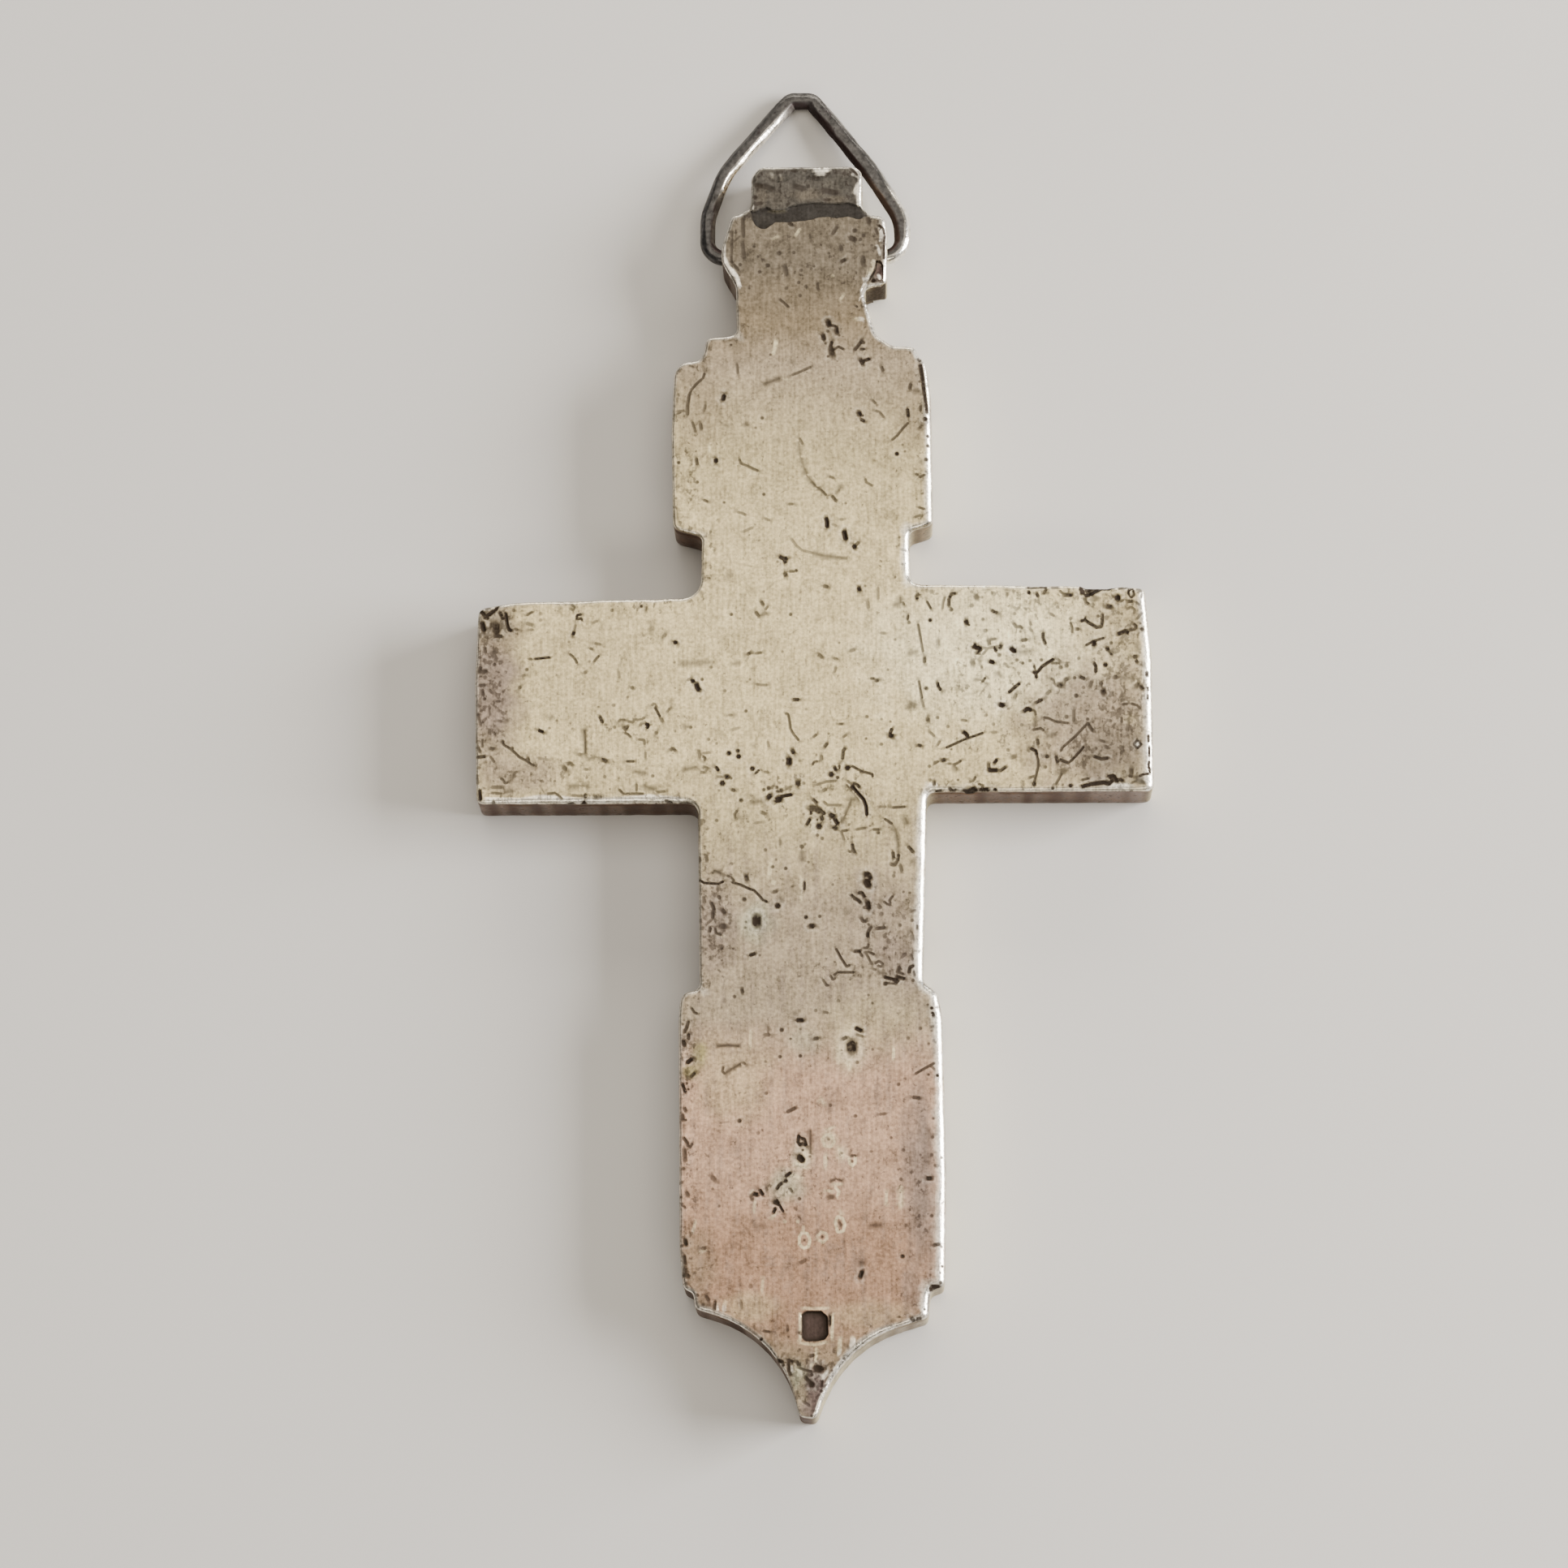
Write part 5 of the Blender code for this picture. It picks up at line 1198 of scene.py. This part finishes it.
class CrossSkin:
    """Where each point of the cross lies, which way it faces, and the paint on it."""

    def __init__(self, mesh):
        self.places, self.normals = surface(mesh)
        self.flat = self.places[:, :2].copy()
        self.depth, nearest = from_edges(self.flat)
        self.share_worn = self.depth / WORN[nearest]
        facing = OUTWARD[nearest]
        self.right, self.left = (np.clip(side * facing[:, 0], 0.0, None) for side in (1, -1))
        self.head, self.foot = (np.clip(side * facing[:, 1], 0.0, None) for side in (1, -1))
        self.on_back = self.places[:, 2] > back_heights(self.flat) - 0.02
        self.back = smooth(0.05, 0.35, self.normals[:, 2]) * self.on_back
        self.wall = (1 - smooth(0.10, 0.45, np.abs(self.normals[:, 2]))) * (self.depth < 0.25)
        self.patchy = lumpy(self.flat, 0.8, 30.0)
        self.mottle = 0.26 * lumpy(self.flat, 0.42, 35.0) + 0.30 * lumpy(self.flat, 0.24, 36.0)
        self.by_edge = 1 - smooth(0.50, 0.90, self.depth)
        self.glint = glinting(self.flat) * self.back

    def paint_back(self):
        """The worn plate: its tones, its marks with their painted pale halos, its polished rim lightened as a
        painted highlight, the glints, and the grime beside the rim.
        """
        _, dark, rim = marked(self.flat)
        # The rim is polished, most where it faces the window at the right; below, its colour is lightened
        # towards bright as a painted highlight
        polish = 1 - smooth(0.25, 1.15, self.share_worn)
        polish = polish * (0.95 * self.right + 0.45 * self.left + 0.75 * self.head + 0.60 * self.foot)
        self.polish = np.clip(polish * (1 + 0.7 * self.patchy), 0.0, 1.0) * self.back
        # The pale halos round the marks are painted highlights
        colour = mixed(toned(self.flat), "bright", rim * (1 - within("tab", self.flat, -0.3, 0.0)))
        # The plate is mottled on the lug
        peel = smooth(HEAD_FOOT, HEAD_FOOT + 3.0, self.flat[:, 1])
        colour = colour * (1 + peel * self.mottle)[:, None]
        # The glints are painted highlights, with some metal rubbed bright: pale away from the edge and bright
        # near it, where the polished rim is lightened as a painted highlight too
        highlit_and_rubbed = self.glint * (1 - dark)
        colour = mixed(colour, "pale", 0.70 * highlit_and_rubbed * (1 - self.by_edge))
        self.colour = mixed(colour, "bright", np.maximum(0.85 * self.polish, 0.9 * highlit_and_rubbed * self.by_edge))
        grime = smooth(0.8, 1.25, self.share_worn) * (1 - smooth(1.3, 2.0, self.share_worn))
        grime = grime * smooth(0.15, 0.55, lumpy(self.flat, 0.7, 31.0)) * self.back
        self.tarnish_and_shade = np.maximum(dark, 0.55 * grime * (1 - self.glint))

    def paint_walls(self):
        """The walls with their seam and their painted light and shade, the front, the bore and the grooves
        beside the lug.
        """
        y, z = self.places[:, 1], self.places[:, 2]
        # Painted light and shade on the walls: those that face the foot and the left are painted dark
        # red-brown as shade with a warm painted reflection, and those that face the right and the head are
        # painted pale, as lit by the window
        tone = np.tile(TONES["dun"], (len(y), 1))
        tone = mixed(tone, "shaded_wall_red", 0.75 * self.foot + 0.35 * self.left + 0.2 * self.patchy)
        tone = mixed(tone, "pale", 0.75 * self.right + 0.15 * self.head)
        colour = self.colour + (tone - self.colour) * (1 - self.back)[:, None]
        front = smooth(0.3, 0.8, -self.normals[:, 2]) * (1 - self.back)
        self.colour = mixed(colour, "tan", front)
        # Patchy tarnish on the walls, deepened as painted shade where they face the foot and the left
        wall_tarnish_and_shade = (0.40 * self.foot + 0.30 * self.left + 0.10) * smooth(-0.3, 0.5, self.patchy)
        seam = (1 - smooth(0.03, 0.12, np.abs(z - SEAM_LEVEL))) * seam_share(lumpy(self.flat, 1.6, 13.0))
        # A painted shadow on the wall below the lug's right shoulder
        shadow_under_lug = smooth(0.25, 0.60, self.foot) * (np.abs(y - LUG_FOOT) < 0.8) * (self.places[:, 0] > 2.0)
        walls = self.wall * np.maximum(np.maximum(wall_tarnish_and_shade, 0.6 * seam), 0.9 * shadow_under_lug)
        tarnish_and_shade = np.where(self.back > 0.5, self.tarnish_and_shade, walls)
        in_bore = np.hypot(y - HINGE.y, z - HINGE.z) < BORE_RADIUS + 0.02
        tarnish_and_shade = np.where(in_bore & (np.abs(self.places[:, 0]) < BORE_HALF), 0.85, tarnish_and_shade)
        hollow = (z > 0.01) & (z < LUG_ROUND + 0.02) & (self.normals[:, 2] < 0.5)
        by_groove = np.minimum(np.abs(y - LUG_TOP), np.abs(y - LUG_FOOT)) < 0.14
        self.tarnish_and_shade = np.where(hollow & by_groove, 0.8, tarnish_and_shade)

    def paint_sunk(self):
        """The dull tab, the dark band below it, the punch, and the breaks in the rim, painted dark as shade.
        """
        plain = within("tab", self.flat) * self.back * (1 - np.maximum(self.polish, self.glint))
        band = within("band", self.flat) * self.back
        punch = within("punch", self.flat, -0.06, 0.02)
        # The gouge and the chip are painted dark: painted shade where the rim is broken away
        shaded_breaks = np.maximum(within("gouge", self.flat), within("chip", self.flat)) * self.on_back
        blotched = smooth(-0.30, 0.45, lumpy(self.flat, 1.3, 33.0) + 0.5 * lumpy(self.flat, 0.45, 34.0))
        colour = mixed(self.colour, "pewter", 0.60 * plain)
        colour = mixed(colour, "slate", (0.26 + 0.20 * blotched) * plain)
        colour = mixed(colour, "slate", (0.82 - 0.40 * self.mottle) * band)
        self.colour = mixed(colour, "plum", 0.95 * punch)
        by_punch_edge = within("punch", self.flat, 0.20, 0.04)
        for share in (0.35 * band, punch * (0.55 + 0.4 * by_punch_edge), 0.90 * shaded_breaks):
            self.tarnish_and_shade = np.maximum(self.tarnish_and_shade, share)

    def specked(self):
        """How densely specks cover each point."""
        rim = 0.55 * (1 - smooth(0.3, 1.0, self.depth))
        specked = np.maximum(fouled(self.flat), rim) * self.back * (1 - 0.8 * self.polish)
        return np.maximum(specked, 0.35 * self.wall)


def paint_cross(mesh):
    """Colour, tarnish and painted shade, polish and specks of the cross, point by point; the colour holds
    painted light and shade as well.
    """
    skin = CrossSkin(mesh)
    skin.paint_back()
    skin.paint_walls()
    skin.paint_sunk()
    polish = np.maximum(skin.polish, 0.8 * skin.glint * skin.by_edge)
    store_paint(mesh, skin.colour, skin.tarnish_and_shade, polish, skin.specked())


def store_paint(mesh, colour, tarnish_and_shade, polish, specked):
    """Keeps the paint on the mesh, for the materials to read."""
    layer = mesh.attributes.new("tint", "FLOAT_COLOR", "POINT")
    solid = np.column_stack([colour, np.ones(len(colour))])
    layer.data.foreach_set("color", solid.astype(np.float32).ravel())
    for name, values in (("tarnish_and_shade", tarnish_and_shade), ("polish", polish), ("specked", specked)):
        layer = mesh.attributes.new(name, "FLOAT", "POINT")
        layer.data.foreach_set("value", np.clip(values, 0.0, 1.0).astype(np.float32))


# The ring's wire in its own plane, clockwise from the bore's left mouth: places across and
# along from the bore's axis, radius of each bend, and width of the wire there
Bend = namedtuple("Bend", "across along radius wide")
RING_BENDS = (
    Bend(-5.888, 0.000, 1.08, 0.90),
    Bend(-5.888, 2.616, 3.00, 0.92),
    Bend(-4.922, 5.512, 4.80, 0.99),
    Bend(-1.729, 9.509, 0.00, 1.05),
    Bend(-0.880, 10.465, 0.50, 1.00),
    Bend(0.380, 10.465, 0.50, 0.97),
    Bend(1.600, 8.930, 0.00, 1.05),
    Bend(4.143, 5.459, 6.00, 1.07),
    Bend(5.870, 2.497, 3.00, 1.05),
    Bend(5.870, 0.000, 1.20, 0.90),
)
RING_REACH = max(bend.along for bend in RING_BENDS)
WIRE_HEIGHT = 0.93
CROWN_REST = 0.475
RING_TILT = math.asin((HINGE.z - CROWN_REST) / RING_REACH)
RING_STEP = 0.10
RING_SIDES = 36
RING_TURNS = np.arange(RING_SIDES) * math.tau / RING_SIDES
HAMMER_STEP = 0.30


def rounded_bend(before, bend, after):
    """Points round a bend of the ring, or its corner alone where it has no radius."""
    place = Vector((bend.across, bend.along))
    back = (place - Vector((before.across, before.along))).normalized()
    ahead = (Vector((after.across, after.along)) - place).normalized()
    turn = -back.angle_signed(ahead)
    if bend.radius == 0 or abs(turn) < 0.01:
        return [place]
    start = place - back * (bend.radius * math.tan(abs(turn) / 2))
    side = Vector((-back.y, back.x)) * math.copysign(1.0, turn)
    centre = start + side * bend.radius
    steps = max(6, math.ceil(abs(turn) / 0.12))
    points = []
    for step in range(steps + 1):
        arm = (start - centre).copy()
        arm.rotate(Matrix.Rotation(turn * step / steps, 2))
        points.append(centre + arm)
    return points


def bent_line():
    """The ring's centre line at even stations, with the wire's width at each of them."""
    line, middles = [], []
    for number, bend in enumerate(RING_BENDS):
        following = RING_BENDS[(number + 1) % len(RING_BENDS)]
        points = rounded_bend(RING_BENDS[number - 1], bend, following)
        middles.append(len(line) + (len(points) - 1) // 2)
        line.extend(points)
    line = np.array(line)
    along = distances_along(line)
    even = resampled(line, RING_STEP)
    stations = np.arange(len(even)) * along[-1] / len(even)
    wide = np.interp(stations, along[middles], [bend.wide for bend in RING_BENDS], period=along[-1])
    return even, wide, stations


def hammer_marks(total):
    """Flats that the hammer left: place along the wire, direction, length and depth."""
    chance = random.Random(HAMMER_SEED)
    marks = []
    for step in range(int(total / HAMMER_STEP)):
        for side in (0.25, 0.75, 1.25, 1.75):
            if chance.random() < 0.40:
                turn = math.pi * side + chance.gauss(0.0, 0.35)
                length = chance.uniform(0.6, 1.4)
                marks.append((step * HAMMER_STEP, turn, length, chance.uniform(0.935, 0.985)))
    return marks


def wire_radii(line, wide, stations):
    """The radii round the wire: squarish and hammered, but round where it runs in the bore."""
    free = smooth(0.3, 1.8, line[:, 1])[:, None]
    power = 2.0 + 1.1 * free
    half_wide = (wide / 2)[:, None]
    level_part = (np.abs(np.cos(RING_TURNS)) / half_wide) ** power
    upright_part = (np.abs(np.sin(RING_TURNS)) / (WIRE_HEIGHT / 2)) ** power
    radii = (level_part + upright_part) ** (-1 / power)
    total = len(line) * RING_STEP
    for place, turn, length, level in hammer_marks(total):
        off = np.abs((stations - place + total / 2) % total - total / 2)[:, None]
        limit = half_wide * (level + (1.02 - level) * (off / length) ** 2)
        across = np.cos(RING_TURNS - turn)
        flat = np.where(across > 0.5, limit / np.clip(across, 0.5, 1.0), 9.0)
        hammered = np.minimum(radii, np.maximum(flat, 0.84 * half_wide))
        radii = np.where((off < length) & (free > 0.2), hammered, radii)
    rough = [[lumps(place / 0.5, turn * 1.2, 1.0, 40.0) for turn in RING_TURNS] for place in stations]
    return radii * (1 + 0.012 * np.array(rough))


def ring_mesh():
    """The hanging ring, with its crown down on the surface."""
    line, wide, stations = bent_line()
    # The ring's line runs clockwise
    outward = -outward_normals(line)
    bm = bmesh.new()
    rings = []
    lean, rise = math.cos(RING_TILT), math.sin(RING_TILT)
    for middle, side, radii in zip(line, outward, wire_radii(line, wide, stations)):
        ring = []
        for turn, radius in zip(RING_TURNS, radii):
            across, along = middle + side * (radius * math.cos(turn))
            up = radius * math.sin(turn)
            x = HINGE.x + across
            y = HINGE.y + along * lean + up * rise
            z = HINGE.z - along * rise + up * lean
            ring.append(bm.verts.new((x, y, max(z, SKIN))))
        rings.append(ring)
    for lower, upper in zip(rings, rings[1:] + rings[:1]):
        for column in range(RING_SIDES):
            following = (column + 1) % RING_SIDES
            bm.faces.new((lower[column], lower[following], upper[following], upper[column]))
    bmesh.ops.recalc_face_normals(bm, faces=bm.faces)
    mesh = new_mesh("ring_silver", bm)
    paint_ring(mesh, line, outward)
    return mesh


def paint_ring(mesh, line, outward):
    """A dark patina, with painted shade and a warm painted reflection inside the ring, and painted highlights
    where the wire is polished.
    """
    places, normals = surface(mesh)
    rows = np.repeat(np.arange(len(line)), RING_SIDES)
    outer = (normals[:, :2] * outward[rows]).sum(axis=1)
    inner = smooth(0.15, 0.6, -outer)
    wander = np.array([lumps(x + 0.6 * z, y - 0.4 * z, 0.5, 41.0) for x, y, z in places])
    across, along = line[rows, 0], line[rows, 1]
    colour = np.tile(TONES["steel"], (len(places), 1))
    colour = mixed(colour, "slate", 0.15 + 0.35 * smooth(-0.2, 0.5, wander))
    # Painted shade inside the ring, with a warm painted reflection in it
    colour = mixed(colour, "plum", 0.85 * inner * smooth(9.9, 8.9, along))
    # The wire is polished and painted with highlights inside the left leg and outside the right one's lower
    # bend, and a fainter painted sheen lies on its other sides that face the window
    left_leg_highlight = smooth(-0.9, -2.2, across) * smooth(3.2, 4.6, along) * smooth(0.20, 0.42, -outer)
    heel = smooth(3.8, 4.6, across) * smooth(4.8, 3.6, along) * smooth(0.10, 0.45, outer)
    sheen_facing_window = 0.35 * smooth(0.45, 0.75, normals[:, 0]) * smooth(-0.75, -0.1, wander)
    worn = np.maximum(np.maximum(left_leg_highlight, heel), sheen_facing_window) * smooth(-0.45, 0.0, normals[:, 2])
    colour = mixed(colour, "bright", 0.92 * worn)
    store_paint(mesh, colour, 0.80 * inner * (1 - worn), worn, np.full(len(places), 0.3))


# The sockets of a mix node that take and give colours
MIX_SHARE, MIX_FIRST, MIX_SECOND, MIX_RESULT = 0, 6, 7, 2

# What varies over the metal: streaks, strokes across them, mottle, grain, specks and gleams
Patterns = namedtuple("Patterns", "streaks crossing mottle grain specks gleams")


def add(tree, kind, settings, **links):
    """A new shader node's first output, with its settings and what flows into its inputs."""
    made = tree.nodes.new(kind)
    for name, value in settings.items():
        if name in made.inputs:
            made.inputs[name].default_value = value
        else:
            setattr(made, name, value)
    for name, socket in links.items():
        tree.links.new(socket, made.inputs[name])
    return made.outputs[0]


def calculated(tree, operation, *values):
    """A number worked out from others, each a fixed number or a socket."""
    made = tree.nodes.new("ShaderNodeMath")
    made.operation = operation
    for entry, value in zip(made.inputs, values):
        if isinstance(value, float):
            entry.default_value = value
        else:
            tree.links.new(value, entry)
    return made.outputs[0]


def scaled(tree, value, factor, plus):
    """A value times a factor, plus another value."""
    return calculated(tree, "MULTIPLY_ADD", value, factor, plus)


def painted(tree, name, output="Fac"):
    """What is painted on the mesh under a name."""
    made = tree.nodes.new("ShaderNodeAttribute")
    made.attribute_name = name
    return made.outputs[output]


def noise_of(tree, place, stretch=(1.0, 1.0, 1.0), scale=1.0, detail=3.0):
    """Noise over the surface in millimetres, denser along some axes."""
    spread = add(tree, "ShaderNodeMapping", {"Scale": stretch}, Vector=place)
    return add(tree, "ShaderNodeTexNoise", {"Scale": scale, "Detail": detail}, Vector=spread)


def silver_patterns(tree, grain_size):
    """The patterns that every look of the metal is made from."""
    place = tree.nodes.new("ShaderNodeTexCoord").outputs["Object"]
    place = add(tree, "ShaderNodeMapping", {"Scale": (1 / MM, 1 / MM, 1 / MM)}, Vector=place)
    return Patterns(
        streaks=noise_of(tree, place, stretch=(5.5, 0.5, 2.0), detail=4.0),
        crossing=noise_of(tree, place, stretch=(0.6, 4.5, 2.0)),
        mottle=noise_of(tree, place, scale=0.8, detail=6.0),
        grain=noise_of(tree, place, scale=1 / grain_size),
        specks=noise_of(tree, place, stretch=(1.0, 0.8, 1.0), scale=3.4),
        gleams=noise_of(tree, place, stretch=(1.0, 0.7, 1.0), scale=2.6, detail=2.0),
    )


def metal_colour(tree, patterns, specked, streakiness):
    """The painted tint, made brighter and darker by the patterns."""
    # Noise swings about a half, and that half is taken away again, so the tint keeps its mean
    bright = scaled(tree, patterns.streaks, 1.10 * streakiness, 1.0 - 0.55 * streakiness)
    bright = scaled(tree, patterns.crossing, 0.24 * streakiness, bright)
    bright = scaled(tree, patterns.mottle, 0.80, bright)
    bright = scaled(tree, patterns.grain, 1.50, bright)
    bright = scaled(tree, bright, 1.0, -1.15 - 0.12 * streakiness)
    gleam = calculated(tree, "MULTIPLY", scaled(tree, patterns.gleams, 1.6, -0.8), specked)
    bright = scaled(tree, gleam, 1.0, bright)
    tint = painted(tree, "tint", "Color")
    return add(tree, "ShaderNodeVectorMath", {"operation": "SCALE"}, Vector=tint, Scale=bright)


def patina_and_shade_share(tree, patterns, specked):
    """How far the patina covers the metal, by the painted tarnish and painted shade, and in flecks."""
    dim = calculated(tree, "MULTIPLY", scaled(tree, patterns.grain, 0.6, 0.78), painted(tree, "tarnish_and_shade"))
    crowd = scaled(tree, specked, 0.20, patterns.specks)
    fleck = add(tree, "ShaderNodeMapRange", {"From Min": 0.66, "From Max": 0.76, "To Max": 0.62}, Value=crowd)
    dark = calculated(tree, "MAXIMUM", dim, fleck)
    dark.node.use_clamp = True
    return dark


def silver_material(name, patina_and_shade, roughness, streakiness, grain_size):
    """Brushed and worn silver, whose tint, tarnish, polish and specks are painted on the mesh; the tint holds
    painted light and shade, and the tarnish holds painted shade.
    """
    material = bpy.data.materials.new(name)
    material.use_nodes = True
    tree = material.node_tree
    patterns = silver_patterns(tree, grain_size)
    specked = painted(tree, "specked")
    dark = patina_and_shade_share(tree, patterns, specked)
    mix = tree.nodes.new("ShaderNodeMix")
    mix.data_type = "RGBA"
    mix.inputs[MIX_SECOND].default_value = (*patina_and_shade, 1.0)
    tree.links.new(dark, mix.inputs[MIX_SHARE])
    tree.links.new(metal_colour(tree, patterns, specked, streakiness), mix.inputs[MIX_FIRST])
    rough = scaled(tree, patterns.streaks, 0.20, roughness - 0.10)
    rough = scaled(tree, dark, 0.22, rough)
    rough = scaled(tree, painted(tree, "polish"), -0.14, rough)
    height = scaled(tree, patterns.streaks, 0.5 * streakiness, scaled(tree, patterns.grain, 1.0, 0.0))
    looks = {
        "Base Color": mix.outputs[MIX_RESULT],
        "Metallic": scaled(tree, dark, -0.92, 1.0),
        "Roughness": rough,
        "Normal": add(tree, "ShaderNodeBump", {"Strength": 0.5, "Distance": 0.03 * MM}, Height=height),
    }
    shader = tree.nodes["Principled BSDF"]
    for entry, socket in looks.items():
        tree.links.new(socket, shader.inputs[entry])
    # Only the tarnish and the painted shade are not metal, and they are dull
    shader.inputs["Specular IOR Level"].default_value = 0.05
    return material


# The floor's half width and the lights, in metres: place, size, power and colour
FLOOR_HALF = 3.0
Light = namedtuple("Light", "name place size power colour")
LIGHTS = (
    Light("ceiling", (0.0, 0.17, 0.70), (0.9, 0.7), 4.3, (1.0, 0.91, 0.77)),
    Light("window", (0.55, 0.06, 0.22), (0.34, 0.28), 11.0, (1.0, 0.97, 0.93)),
    Light("far wall", (0.05, 0.60, 0.20), (0.60, 0.16), 2.6, (1.0, 0.93, 0.80)),
    Light("near wall", (0.05, -0.50, 0.42), (0.60, 0.16), 1.4, (1.0, 0.91, 0.77)),
)


def floor():
    """The pale plain surface that the cross lies on."""
    mesh = bpy.data.meshes.new("floor")
    flat = ((-1, -1), (1, -1), (1, 1), (-1, 1))
    mesh.from_pydata([(x * FLOOR_HALF, y * FLOOR_HALF, 0.0) for x, y in flat], [], [(0, 1, 2, 3)])
    material = bpy.data.materials.new("floor")
    material.use_nodes = True
    shader = material.node_tree.nodes["Principled BSDF"]
    shader.inputs["Base Color"].default_value = (0.60, 0.59, 0.58, 1.0)
    shader.inputs["Roughness"].default_value = 0.9
    shader.inputs["Specular IOR Level"].default_value = 0.1
    mesh.materials.append(material)
    linked("floor", mesh)


def lights():
    """The soft lights, all turned to the frame's origin, and the room's own dim light."""
    for name, place, size, power, colour in LIGHTS:
        light = bpy.data.lights.new(name, "AREA")
        light.shape = "RECTANGLE"
        light.size, light.size_y = size
        light.energy = power
        light.color = colour
        lamp = linked(name, light)
        lamp.location = place
        aim = Vector((0.0, 0.0, 0.0)) - Vector(place)
        lamp.rotation_euler = aim.to_track_quat("-Z", "Y").to_euler()
    world = bpy.data.worlds.new("room")
    world.use_nodes = True
    background = world.node_tree.nodes["Background"]
    background.inputs["Color"].default_value = (0.9, 0.85, 0.78, 1.0)
    background.inputs["Strength"].default_value = 0.18
    bpy.context.scene.world = world


def camera():
    """The camera that took the photograph."""
    data = bpy.data.cameras.new("camera")
    data.sensor_width = SENSOR
    data.lens = LENS
    data.clip_start = 0.01
    eye = linked("camera", data)
    turn = Matrix((RIGHT, UP, BACKWARD)).transposed().to_4x4()
    eye.matrix_world = Matrix.Translation(EYE * MM) @ turn
    bpy.context.scene.camera = eye


def finished(name, mesh, material, body, node, sharp_from):
    """Makes a piece of the pendant, from millimetres to metres, and sets it on its body."""
    mesh.transform(Matrix.Scale(MM, 4))
    mesh.materials.clear()
    mesh.materials.append(material)
    mesh.shade_smooth()
    mesh.set_sharp_from_angle(angle=math.radians(sharp_from))
    piece = linked(name, mesh)
    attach(piece, body)
    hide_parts(node)


cross_form = bored(cross_blank())
paint_cross(cross_form)
worn_silver = silver_material("worn_silver", patina_and_shade=(0.024, 0.017, 0.012), roughness=0.40,
                              streakiness=1.0, grain_size=0.17)
finished("cross_silver", cross_form, worn_silver, "cross", "cross_body", sharp_from=55)
oxidised_silver = silver_material("oxidised_silver", patina_and_shade=(0.018, 0.010, 0.010), roughness=0.34,
                                  streakiness=0.25, grain_size=0.22)
finished("ring_silver", ring_mesh(), oxidised_silver, "ring", "hanging_ring",
         sharp_from=60)
floor()
lights()
camera()
